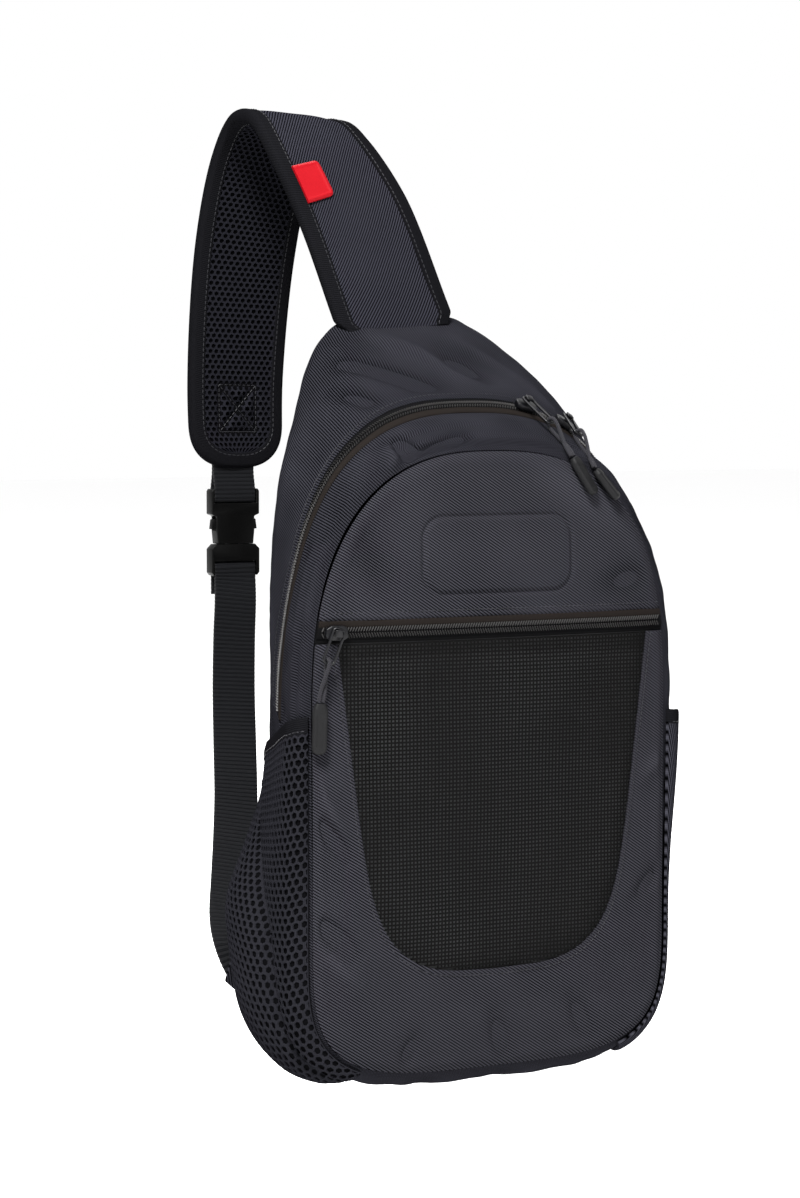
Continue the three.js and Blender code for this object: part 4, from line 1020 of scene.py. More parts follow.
def stitches(name: str, line: Array, out: Array, pitch: float = 3.4) -> Piece:
    """Lock stitches along a seam line: one short bar of thread per pitch, sunk at its ends.

    Args:
        name: the piece's name.
        line: (N, 3) seam line.
        out: (N, 3) directions away from the cloth.
        pitch: millimetres per stitch.
    Returns:
        The object.
    """
    even = evenly(np.hstack((line, out)), max(2, int(round(total_length(line) / pitch))) * 2)
    middle = even[1::2]
    return bars(name, middle[:, :3], even[2::2, :3] - even[:-1:2, :3], unit(middle[:, 3:]),
                (pitch * STITCH_SHARE, STITCH_WIDTH, STITCH_THICK), THREAD)


def holed_sheet(name: str, place: Placer, size: tuple[float, float], pitch: tuple[float, float],
                hole: float, finish: Finish, node: str) -> Piece:
    """Open mesh cloth: a honeycomb of cells, each with a hole through it.

    The cells' centres lie in rows a pitch apart, every other row moved by half a pitch. A cell is a
    hexagon, its hole a smaller one, and both are carried to the cloth by place(s, t, height).

    Args:
        name, finish, node: as in build.
        place: function of arrays s and t (shares of the size) and a height share, 1 on the face.
        size: width and height of the sheet in millimetres.
        pitch: cells' spacing across and between rows in millimetres.
        hole: the hole's share of its cell's width.
    Returns:
        The object.
    """
    rows = np.arange(-1, int(size[1] / pitch[1]) + 2)
    columns = np.arange(-1, int(size[0] / pitch[0]) + 2)
    r, c = np.meshgrid(rows, columns, indexing="ij")
    x = (c + 0.5 * (r % 2)) * pitch[0]
    y = r * pitch[1]
    keep = (x > -0.3 * pitch[0]) & (x < size[0] + 0.3 * pitch[0])
    keep &= (y > -0.3 * pitch[1]) & (y < size[1] + 0.3 * pitch[1])
    x, y = x[keep], y[keep]
    angles = math.radians(30) + np.arange(6) * math.pi / 3
    corner = np.stack((np.cos(angles) / math.sqrt(3), np.sin(angles) * 2 / 3), 1) * np.array(pitch)
    middle = np.stack((x, y), 1)[:, None]
    rim = middle + corner
    count = len(x) * 6
    flat = [np.clip(edge / np.array(size), 0, 1).reshape(-1, 2) for edge in (rim, middle + corner * hole)]
    layers = [place(st[:, 0], st[:, 1], height) for height in (1.0, 0.0) for st in flat]
    points = np.concatenate(layers)
    cell = np.arange(len(x))[:, None] * 6
    here, beside = cell + np.arange(6), cell + (np.arange(6) + 1) % 6
    top = np.stack((here, beside, beside + count, here + count), -1).reshape(-1, 4)
    low = (top + 2 * count)[:, ::-1]
    wall = np.stack((here + count, beside + count, beside + 3 * count, here + 3 * count), -1).reshape(-1, 4)
    keys = np.round(rim.reshape(-1, 2) * 20).astype(int)
    _, shared = np.unique(keys, axis=0, return_inverse=True)
    shared = shared.reshape(-1)
    ends = np.sort(np.stack((shared[here.ravel()], shared[beside.ravel()]), 1), axis=1)
    _, which, times = np.unique(ends, axis=0, return_inverse=True, return_counts=True)
    border = times[which.reshape(-1)] == 1  # a side of one cell only lies on the sheet's edge
    b_here, b_beside = here.ravel()[border], beside.ravel()[border]
    edge = np.stack((b_beside, b_here, b_here + 2 * count, b_beside + 2 * count), 1)
    faces = np.concatenate((top, low, wall, edge))
    measures = np.concatenate([st * np.array(size) for st in flat + flat])
    return build(name, points, faces, finish, measures[faces], weld=True, sharp=60, node=node)


@dataclass
class Front:
    """The front face: a flat oval that bulges in its middle, as a function of x and z."""

    rim_inset: float = 1.0
    outline: Array = field(init=False)
    window: Array = field(init=False)
    top: float = field(init=False)
    bottom: float = field(init=False)

    def __post_init__(self) -> None:
        """Works out the front's outline and the mesh window's edge."""
        self.outline = BODY.inset_outline(SEAM_DEPTH, self.rim_inset)
        self.top, self.bottom = self.outline[-1, 1], self.outline[0, 1]
        share = np.linspace(0, 1, 161)
        line = np.stack((self.window_half(share), WINDOW_TOP - WINDOW_HEIGHT * share), 1)
        self.window = evenly(line, 400)

    @staticmethod
    def window_half(share: Array) -> Array:
        """Half width of the window at a share down it: a straight taper with a super-elliptic foot."""
        half = (WINDOW_TOP_HALF + (WINDOW_LOW_HALF - WINDOW_TOP_HALF) * share)
        return half * np.maximum(0, 1 - share**8.4) ** (1 / 3.2)

    def half(self, z: Array) -> Array:
        """Right-hand edge of the front at a height."""
        return np.interp(z, self.outline[:, 1], self.outline[:, 0])

    def depth(self, x: Array, z: Array) -> Array:
        """Seam's depth plus a crown of (1 - |x/a|^3)(1 - |(z - m)/b|^4).

        Args:
            x, z: millimetres on the front.
        Returns:
            Depths in millimetres.
        """
        middle, reach = (self.top + self.bottom) / 2, (self.top - self.bottom) / 2
        sideways = np.maximum(0, 1 - np.abs(x / HALF_WIDTH) ** 3)
        upright = np.maximum(0, 1 - np.abs((z - middle) / reach) ** 4)
        return SEAM_DEPTH + CLOTH + FRONT_CROWN * sideways * upright

    def at(self, x: Array, z: Array, height: Array | float = 0.0) -> Array:
        """Points of the front at a height above its face."""
        return np.stack((x, -(self.depth(x, z) + height), z), axis=-1)

    def edge_distance(self, x: Array, z: Array) -> Array:
        """Distance of points from the front's outline."""
        return line_distance(np.stack((np.abs(x), z), -1), self.outline[::3])

    def sheet(self, name: str, x: Array, z: Array, relief: Array, thick: float, finish: Finish, node: str,
              sunk: float = 0.0, folded: Array | None = None) -> None:
        """Closed sheet on the front at grids of x and z, with a relief on its face.

        Args:
            name, finish, node: as in build.
            x, z: (R, C) millimetres on the front.
            relief: (R, C) height of the face.
            thick: thickness.
            sunk: how far it lies behind the face.
            folded: (R, C) height of the folds, for their painted shade and light.
        """
        outer = self.at(x, z, relief - sunk)
        inner = self.at(x, z, -sunk - thick)
        two_faced(name, outer, inner, finish, np.stack((x, z), -1), weld=True, folded=folded, node=node)


FRONT = Front()


@dataclass
class Body:
    """Rear shell, front gusset, back panel and the main zip between them."""

    rounds: int = 560
    rear_rows: int = 70
    front_rows: int = 34
    back_swell: float = 4.2
    channel_step: float = 96.0
    rear_folds: tuple[Fold, ...] = (
        Fold((-36, -20, -12), (10, -56, -35), 8.0, 4.6),
        Fold((-62, -36, -28), (-14, -67, -44), 6.5, -6.4),
        Fold((-4, -40, -24), (22, -58, -40), 5.5, -4.4),
        Fold((16, -26, -14), (66, -62, -64), 5.0, 2.6),
        Fold((-70, -44, -50), (-46, -72, -64), 6.0, -3.4),
        Fold((-84, -30, -96), (-78, -64, -112), 9.0, 1.2),
        Fold((-100, -22, -190), (-106, -50, -262), 12.0, -1.6),
        Fold((92, -20, -110), (98, -60, -150), 10.0, -1.3),
        Fold((-110, -40, -150), (-112, -58, -205), 7.0, 0.8),
        Fold((-60, -60, -452), (-20, -80, -455), 9.0, -1.4),
        Fold((30, -40, -450), (60, -80, -455), 9.0, -1.2),
    )
    gusset_folds: tuple[Fold, ...] = (
        Fold((-56, -97, -74), (-50, -110, -88), 4.8, -11.0),
        Fold((-49, -107, -84), (-18, -107, -69), 5.0, -7.0),
        Fold((-63, -98, -78), (-62, -109, -92), 4.2, 4.0),
        Fold((-88, -92, -118), (-78, -104, -132), 6.0, -0.9),
        Fold((20, -88, -60), (24, -104, -84), 7.0, -0.7),
        Fold((-112, -80, -176), (-116, -102, -196), 7.0, 0.9),
        Fold((-114, -70, -226), (-122, -104, -234), 5.0, -1.2),
        Fold((60, -90, -76), (66, -104, -98), 6.0, 0.8),
        Fold((-48, -90, -452), (-40, -104, -448), 5.0, -1.2),
        Fold((2, -86, -455), (10, -104, -450), 6.0, -1.4),
        Fold((70, -90, -440), (64, -104, -438), 5.0, -1.0),
    )

    def _places(self) -> Array:
        """Places round the body, closer together where the zip ends.

        Returns:
            Places round the body, from the bottom up the right side.
        """
        step = ZIP_STEP / 2
        arch = np.linspace(ZIP_START, 1 - ZIP_START, int(self.rounds * 0.62))
        base = np.linspace(1 - ZIP_START + 2 * step, 1 + ZIP_START - 2 * step, int(self.rounds * 0.38))
        return np.concatenate((arch, base))

    def _on_arch(self, around: Array) -> Array:
        """1 along the zip, 0 below its ends."""
        step = ZIP_STEP / 2
        return ((around > ZIP_START - step) & (around < 1 - ZIP_START + step)).astype(float)

    def _wall(self, name: str, depth: Array, around: Array, relief: Array, folded: Array, node: str) -> None:
        """Closed wall on the body at depths, WALL thick, with a relief along the surface's normal.

        Args:
            name, node: as in build.
            depth: (R, C) depths.
            around: (C,) places.
            relief: (R, C) heights.
            folded: (R, C) height of the folds, for their painted shade and light.
        """
        at, normal = BODY.at(around, depth), BODY.normal(around, depth)
        outer = at + normal * relief[..., None]
        two_faced(name, outer, at - normal * WALL, SHELL_CLOTH, wrapped=True, folded=folded, node=node)

    def shells(self) -> None:
        """Rear shell and front gusset: the body's surface with folds, ripples and rolled seam edges."""
        around = self._places()
        middle, arch = zip_middle(around), self._on_arch(around)
        edge = middle + np.where(arch > 0, -1.0, 1.0) * ZIP_WIDTH / 2 - GAP / 2
        share = np.linspace(0, 1, self.rear_rows)[:, None]
        depth = share * edge
        points = BODY.at(around, depth)
        to_edge = edge - depth
        roll = (0.7 * bell(to_edge - 2.4, 2.0) - 0.9 * bell(to_edge, 1.2)) * arch
        roll = (roll - 0.7 * bell(to_edge, 1.4) * (1 - arch) + 0.8 * bell(depth - 2.2, 1.8)
                - 0.6 * bell(depth, 1.0))
        calm = smooth(depth, 2, 12) * smooth(to_edge, 2, 10)
        folded = calm * (folds(points, self.rear_folds) + ripple(points, 46, 0.55, 3)
                         + ripple(points, 17, 0.16, 4))
        self._wall("rear_shell_cloth", depth, around, roll + folded, folded, "rear_shell")

        rear = middle + ZIP_WIDTH / 2 + GAP / 2
        share = np.linspace(0, 1, self.front_rows)[:, None] ** 0.85
        depth = rear + (SEAM_DEPTH - rear) * share
        points = BODY.at(around, depth)
        behind = depth - rear
        ahead = SEAM_DEPTH - depth
        roll = (0.3 * bell(behind - 4, 3.0) - 1.0 * bell(behind, 1.6)) * arch
        roll = roll - 0.7 * bell(behind, 1.4) * (1 - arch)
        roll = roll + 0.5 * bell(ahead - 3.0, 2.6) - 1.1 * bell(ahead, 1.5)
        calm = smooth(behind, 1, 8) * smooth(ahead, 0.4, 3.2)
        folded = calm * (folds(points, self.gusset_folds) + ripple(points, 30, 0.5, 5)
                         + ripple(points, 12, 0.14, 6))
        self._wall("front_gusset_cloth", depth, around, roll + folded, folded, "front_gusset")

    def seam_stitches(self) -> None:
        """Topstitching on the shell behind the zip."""
        arch = np.linspace(ZIP_START + 0.004, 1 - ZIP_START - 0.004, 700)
        depth = zip_middle(arch) - ZIP_WIDTH / 2 - 2.5
        normal = BODY.normal(arch, depth)
        stitches("rear_zip_stitches", BODY.at(arch, depth) + normal * 0.8, normal, SEAM_STITCH)

    def main_zip(self) -> None:
        """Zip tape with a rounded crest, and a herringbone of coil turns along it."""
        around = np.linspace(ZIP_START + ZIP_STEP, 1 - ZIP_START - ZIP_STEP, 420)
        half = ZIP_WIDTH / 2 - GAP / 2
        offset = np.linspace(-half, half, 19)[:, None]
        depth = zip_middle(around) + offset
        at, normal = BODY.at(around, depth), BODY.normal(around, depth)
        crest = (-0.9 + 0.75 * np.maximum(0, 1 - np.abs(offset / 3.0) ** 4) ** 0.5
                 + 0.12 * bell(offset + 4.3, 0.6))
        outer = at + normal * np.broadcast_to(crest, depth.shape)[..., None]
        two_faced("main_zip_tape", outer, at - normal * 2.3, ZIP_TAPE, node="main_zip")
        length = total_length(BODY.at(around, zip_middle(around)))
        self._coil(np.linspace(around[2], around[-3], int(length / TURN_PITCH)))
        self._facing(around)

    def _facing(self, around: Array) -> None:
        """Satin strip on the front side of the teeth: a soft roll that lies against the gusset's edge.

        Its height is a half ellipse across the strip, with a slow wave along it.

        Args:
            around: places along the zip.
        """
        across = np.linspace(-1, 1, 13)[:, None]
        depth = zip_middle(around) + 4.35 + 2.15 * across
        at, normal = BODY.at(around, depth), BODY.normal(around, depth)
        rise = -0.5 + 1.0 * np.sqrt(1 - 0.98 * across**2) + ripple(at, 20, 0.12, 41)
        two_faced("main_zip_facing", at + normal * rise[..., None], at - normal * 1.6, ZIP_FACING,
                  node="main_zip")

    def _coil(self, around: Array) -> None:
        """Two rows of slanted turns that meet along the zip's middle.

        Args:
            around: places of the turns.
        """
        middle = zip_middle(around)
        normal = BODY.normal(around, middle)
        ahead = unit(BODY.at(around + 0.0008, middle) - BODY.at(around - 0.0008, middle))
        sideways = unit(BODY.at(around, middle + 1) - BODY.at(around, middle - 1))
        centres = [BODY.at(around, middle + side * 1.25) + normal * 0.3 for side in (-1, 1)]
        ways = [sideways * side + ahead * 0.45 for side in (-1, 1)]
        bars("main_zip_coil", np.vstack(centres), np.vstack(ways), np.vstack((normal, normal)), MAIN_TURN,
             ZIP_TEETH)

    def back_panel(self) -> None:
        """Padded back: its edge follows the shell's rim, its face swells between three sewn channels.

        The face stands out by 4.2 (1 - s^4) (0.5 + 0.5 |sin|^0.5) where s is the share from the middle
        to the rim and the sine runs down the panel with one lobe per channel.
        """
        around = np.linspace(0, 1, 240, endpoint=False)
        ways = BODY.at(around + 0.004, np.zeros(240)) - BODY.at(around - 0.004, np.zeros(240))
        inward = unit(np.stack((-ways[:, 2], np.zeros(240), ways[:, 0]), 1))
        rear = BODY.at(around, np.zeros(240)) + inward * BACK_SEAM
        rear[:, 1] = 0
        middle = np.array((0.0, 0.0, -BAG_HEIGHT / 2))
        share = (1 - np.linspace(0, 1, 60) ** 1.1)[:, None]
        flat = middle + (rear - middle) * share[..., None]
        lobes = np.abs(np.sin(math.pi * (flat[..., 2] + 20) / self.channel_step)) ** 0.5
        swell = self.back_swell * (1 - share**4) * (0.5 + 0.5 * lobes) + ripple(flat, 30, 0.25, 9)
        outer = flat.copy()
        outer[..., 1] = swell * smooth(1 - share, 0, 0.04)
        inner = flat.copy()
        inner[..., 1] = -BACK_PAD
        uv = np.stack((flat[..., 0], flat[..., 2]), -1)
        uv = np.concatenate((uv, uv[:, :1]), axis=1)
        piece = two_faced("back_panel_pad", outer, inner, BACK_CLOTH, uv, wrapped=True, weld=True,
                          node="back_panel")

    def build(self) -> None:
        """Builds every piece of the body."""
        self.shells()
        self.seam_stitches()
        self.main_zip()
        self.back_panel()


@dataclass
class FrontPocket:
    """Upper front panel, the pocket's zip, the cloth frame, the mesh window and the wall behind it."""

    frame_folds: tuple[Fold, ...] = (
        Fold((-116, -110, -286), (-97, -113, -312), 4.5, -5.0),
        Fold((-116, -110, -268), (-100, -112, -296), 4.5, 3.0),
        Fold((-116, -110, -346), (-92, -113, -368), 4.8, -5.0),
        Fold((-112, -110, -366), (-90, -113, -386), 4.8, 3.0),
        Fold((-60, -110, -438), (-52, -113, -418), 4.5, -2.4),
        Fold((8, -110, -440), (0, -113, -412), 5.5, -2.8),
        Fold((66, -110, -430), (52, -113, -408), 5.5, -2.6),
        Fold((116, -110, -330), (96, -113, -348), 5.0, -2.6),
        Fold((118, -110, -262), (102, -113, -276), 5.0, 2.0),
    )
    panel_folds: tuple[Fold, ...] = (
        Fold((-90, -112, -122), (-72, -115, -162), 10.0, -1.6),
        Fold((40, -112, -92), (88, -113, -128), 11.0, 1.6),
        Fold((70, -112, -160), (112, -112, -150), 8.0, -1.6),
    )
    emblem_half: tuple[float, float] = (49.0, 22.0)
    emblem_middle: tuple[float, float] = (0.0, -139.0)
    emblem_round: float = 13.0

    def upper_panel(self) -> None:
        """Panel above the pocket zip, with its rim turned in and a plain embossed frame.

        The frame is a groove along a rounded rectangle, found from its signed distance, with its
        inside raised a little.
        """
        low = -POCKET_ZIP_TOP + GAP / 2
        line = FRONT.outline[FRONT.outline[:, 1] > low]
        line = evenly(np.vstack(((FRONT.half(low), low), line)), 200)
        across = np.linspace(-1, 1, 220)
        x, z = line[:, :1] * across, np.repeat(line[:, 1:], 220, axis=1)
        point = FRONT.at(x, z)
        rim = FRONT.edge_distance(x, z)
        relief = -1.3 * bell(rim, 2.2) + 0.5 * bell(rim - 6, 4.0)
        folded = (folds(point, self.panel_folds) + ripple(point, 50, 0.35, 11)) * smooth(rim, 1, 10)
        relief += folded
        relief += 0.5 * bell(z - low - 2.0, 1.8) - 0.5 * bell(z - low, 0.8)
        distance = self._emblem_distance(x, z)
        relief += 0.9 * smooth(-distance, 0.0, 2.5) - 1.0 * bell(distance - 0.4, 1.1)
        FRONT.sheet("front_panel_cloth", x, z, relief, CLOTH, PANEL_CLOTH, "front_panel", folded=folded)
        line_x = np.linspace(-0.985, 0.985, 300) * FRONT.half(low)
        line_z = np.full(300, low + 4.2)
        stitches("panel_stitches", FRONT.at(line_x, line_z, 0.25), self._outwards(300), SEAM_STITCH)

    def _emblem_distance(self, x: Array, z: Array) -> Array:
        """Signed distance from a rounded rectangle, below 0 inside it.

        Args:
            x, z: millimetres on the front.
        Returns:
            Distances in millimetres.
        """
        radius = self.emblem_round
        qx = np.abs(x - self.emblem_middle[0]) - self.emblem_half[0] + radius
        qz = np.abs(z - self.emblem_middle[1]) - self.emblem_half[1] + radius
        outside = np.hypot(np.maximum(qx, 0), np.maximum(qz, 0))
        return outside + np.minimum(np.maximum(qx, qz), 0) - radius

    @staticmethod
    def _outwards(count: int) -> Array:
        """Forward directions for a line on the front."""
        return np.tile((0.0, -1.0, 0.0), (count, 1))

    def pocket_zip(self) -> None:
        """Tape with a raised coil in its middle, and the coil's two rows of slanted turns."""
        high, low = -POCKET_ZIP_TOP - GAP / 2, WINDOW_TOP + GAP / 2
        share = np.linspace(0, 1, 25)[:, None]
        z = low + (high - low) * share
        x = FRONT.half(z) * np.linspace(-1, 1, 260)
        z = np.broadcast_to(z, x.shape)
        middle = (high + low) / 2
        sunk = 1.5 * (1 - np.maximum(0, 1 - np.abs((z - middle) / 4.0) ** 4) ** 0.5)
        sunk = sunk - 0.35 * bell(z - low - 1.2, 0.9) - 0.3 * bell(z - high + 1.5, 1.0)
        FRONT.sheet("pocket_zip_tape", x, z, -sunk, 2.9, ZIP_TAPE, "pocket_zip")
        across = np.arange(-FRONT.half(middle) + 3, FRONT.half(middle) - 3, TURN_PITCH)
        level = np.full_like(across, middle)
        ahead = unit(FRONT.at(across + 0.5, level) - FRONT.at(across - 0.5, level))
        centres = [FRONT.at(across, level + side * 1.75, 0.2) for side in (-1, 1)]
        ways = [np.array((0.0, 0.0, side)) + ahead * 0.5 for side in (-1, 1)]
        bars("pocket_zip_coil", np.vstack(centres), np.vstack(ways), self._outwards(2 * len(across)),
             POCKET_TURN, ZIP_TEETH)
        self._facing(high)

    def _facing(self, high: float) -> None:
        """Satin strip between the panel's fold and the teeth, a soft roll with a slow wave along it.

        Args:
            high: height of the zip's upper edge.
        """
        share = np.linspace(-1, 1, 11)[:, None]
        z = high - 1.6 + 1.9 * share
        x = FRONT.half(z) * np.linspace(-0.998, 0.998, 220)
        z = np.broadcast_to(z, x.shape)
        rise = 0.45 * np.sqrt(1 - 0.98 * share**2) + ripple(FRONT.at(x, z), 24, 0.08, 43) - 0.25
        FRONT.sheet("pocket_zip_facing", x, z, rise, 1.0, ZIP_FACING, "pocket_zip")

    def _frame_grid(self, inner: Array, outer: Array, rows: int, columns: int) -> tuple[Array, Array]:
        """Grid of (x, z) between two half outlines, as a U from one top end to the other.

        Args:
            inner, outer: (N, 2) half outlines.
            rows, columns: size of the grid.
        Returns:
            (rows, columns) grids of x and of z.
        """
        along = np.linspace(-1, 1, columns)
        a = along_line(inner, 1 - np.abs(along))
        b = along_line(outer, 1 - np.abs(along))
        share = np.linspace(0, 1, rows)[:, None, None]
        grid = a[None] * (1 - share) + b[None] * share
        return np.sign(along) * grid[..., 0], grid[..., 1]

    def cloth_frame(self) -> None:
        """Cloth round the window: its inner edge is a small fold, its outer edge turns into the seam."""
        high = WINDOW_TOP - GAP / 2
        outline = FRONT.outline[FRONT.outline[:, 1] < high]
        outer = evenly(np.vstack((outline, (FRONT.half(high), high)))[::-1], 400)
        inner = np.stack((FRONT.window[:, 0], np.minimum(FRONT.window[:, 1], high)), 1)
        x, z = self._frame_grid(inner, outer, 40, 460)
        point = FRONT.at(x, z)
        rim = FRONT.edge_distance(x, z)
        hem = line_distance(np.stack((np.abs(x), z), -1), inner[::5])
        relief = -1.3 * bell(rim, 2.0) + 0.5 * bell(rim - 5, 3.0) + 0.45 * bell(hem - 1.4, 1.3)
        calm = smooth(rim, 1, 7) * smooth(hem, 1, 6)
        folded = calm * (folds(point, self.frame_folds) + ripple(point, 26, 0.3, 12))
        relief += folded
        # the frame's painted fold shade is 0.35 of its folds' height
        FRONT.sheet("front_frame_cloth", x, z, relief, CLOTH, PANEL_CLOTH, "front_frame",
                    folded=0.35 * folded)
        gap = np.linalg.norm(outer - inner, axis=1)[:, None]
        right = (inner + (outer - inner) * (3.1 / gap))[:-1]
        whole = np.vstack((right * (-1, 1), right[::-1]))
        stitches("frame_stitches", FRONT.at(whole[:, 0], whole[:, 1], 0.2), self._outwards(len(whole)),
                 SEAM_STITCH)

    def window(self) -> None:
        """Open grid of coated strands: two sets cross, each passing over and under the other in turn.

        Along a strand its height is 0.30 times (-1)^(i + j) at its crossings, on a slow soft wave.
        """
        columns = np.arange(-WINDOW_TOP_HALF + 1.5, WINDOW_TOP_HALF - 1.0, WINDOW_PITCH)
        rows = np.arange(WINDOW_TOP - WINDOW_HEIGHT + 1.0, WINDOW_TOP - 0.5, WINDOW_PITCH)
        half = FRONT.window_half((WINDOW_TOP - rows) / WINDOW_HEIGHT) - 0.4
        x, z = np.meshgrid(columns, rows)
        inside = np.abs(x) < half[:, None]
        weave = 0.30 * (1 - 2 * ((np.arange(len(rows))[:, None] + np.arange(len(columns))) % 2))
        soft = 0.8 * np.sin(x / 31 + 1.0) * np.sin(z / 43) + 0.35 * np.sin((x + z) / 17)
        soft = (soft - 0.6) * smooth(half[:, None] - np.abs(x), 0, 20) * smooth(WINDOW_TOP - z, 0, 20)
        side_z, side_x = np.array((0, 0, STRAND_HALF_WIDTH)), np.array((STRAND_HALF_WIDTH, 0, 0))
        front = np.array((0, -STRAND_HALF_THICK, 0))
        points, faces, start = [], [], 0
        sets = ((x, z, weave + soft, inside, side_z), (x.T, z.T, (soft - weave).T, inside.T, side_x))
        for flat, (set_x, set_z, lifts, kept, side) in enumerate(sets):
            for i, keep in enumerate(kept):
                if keep.sum() < 3:
                    continue
                px, pz, lift = set_x[i][keep], set_z[i][keep], lifts[i][keep]
                if flat == 0:  # the level strands reach on to the window's edge
                    px, pz = np.hstack((-half[i], px, half[i])), np.hstack((pz[0], pz, pz[0]))
                    lift = np.hstack((0, lift, 0))
                centre = FRONT.at(px, pz, lift - 0.85)
                points.append(np.stack((centre + side, centre + front, centre - side, centre - front),
                                       1).reshape(-1, 3))
                last = start + 4 * (len(px) - 1)
                caps = np.array(((start + 3, start + 2, start + 1, start),
                                 (last, last + 1, last + 2, last + 3)))
                block = np.vstack((grid_faces(len(px), 4, start, True), caps))
                faces.append(block if flat == 0 else block[:, ::-1])
                start += 4 * len(px)
        build("window_strands", np.vstack(points), np.vstack(faces), STRAND, sharp=80, node="window_mesh")

    def backing(self) -> None:
        """Dark cloth behind the mesh, softly rippled."""
        outline = BODY.inset_outline(SEAM_DEPTH + CLOTH - POCKET_ROOM, WALL + 3 * GAP)
        line = evenly(outline[outline[:, 1] < -POCKET_ZIP_TOP], 90)
        x = line[:, :1] * np.linspace(-1, 1, 90)
        z = np.repeat(line[:, 1:], 90, axis=1)
        relief = ripple(FRONT.at(x, z), 60, 0.5, 21) * smooth(FRONT.half(z) - np.abs(x), 0, 15)
        FRONT.sheet("pocket_back_cloth", x, z, relief, CLOTH, WINDOW_BACK, "pocket_back", sunk=POCKET_ROOM)

    def build(self) -> None:
        """Builds every piece of the front pocket."""
        self.upper_panel()
        self.pocket_zip()
        self.cloth_frame()
        self.window()
        self.backing()


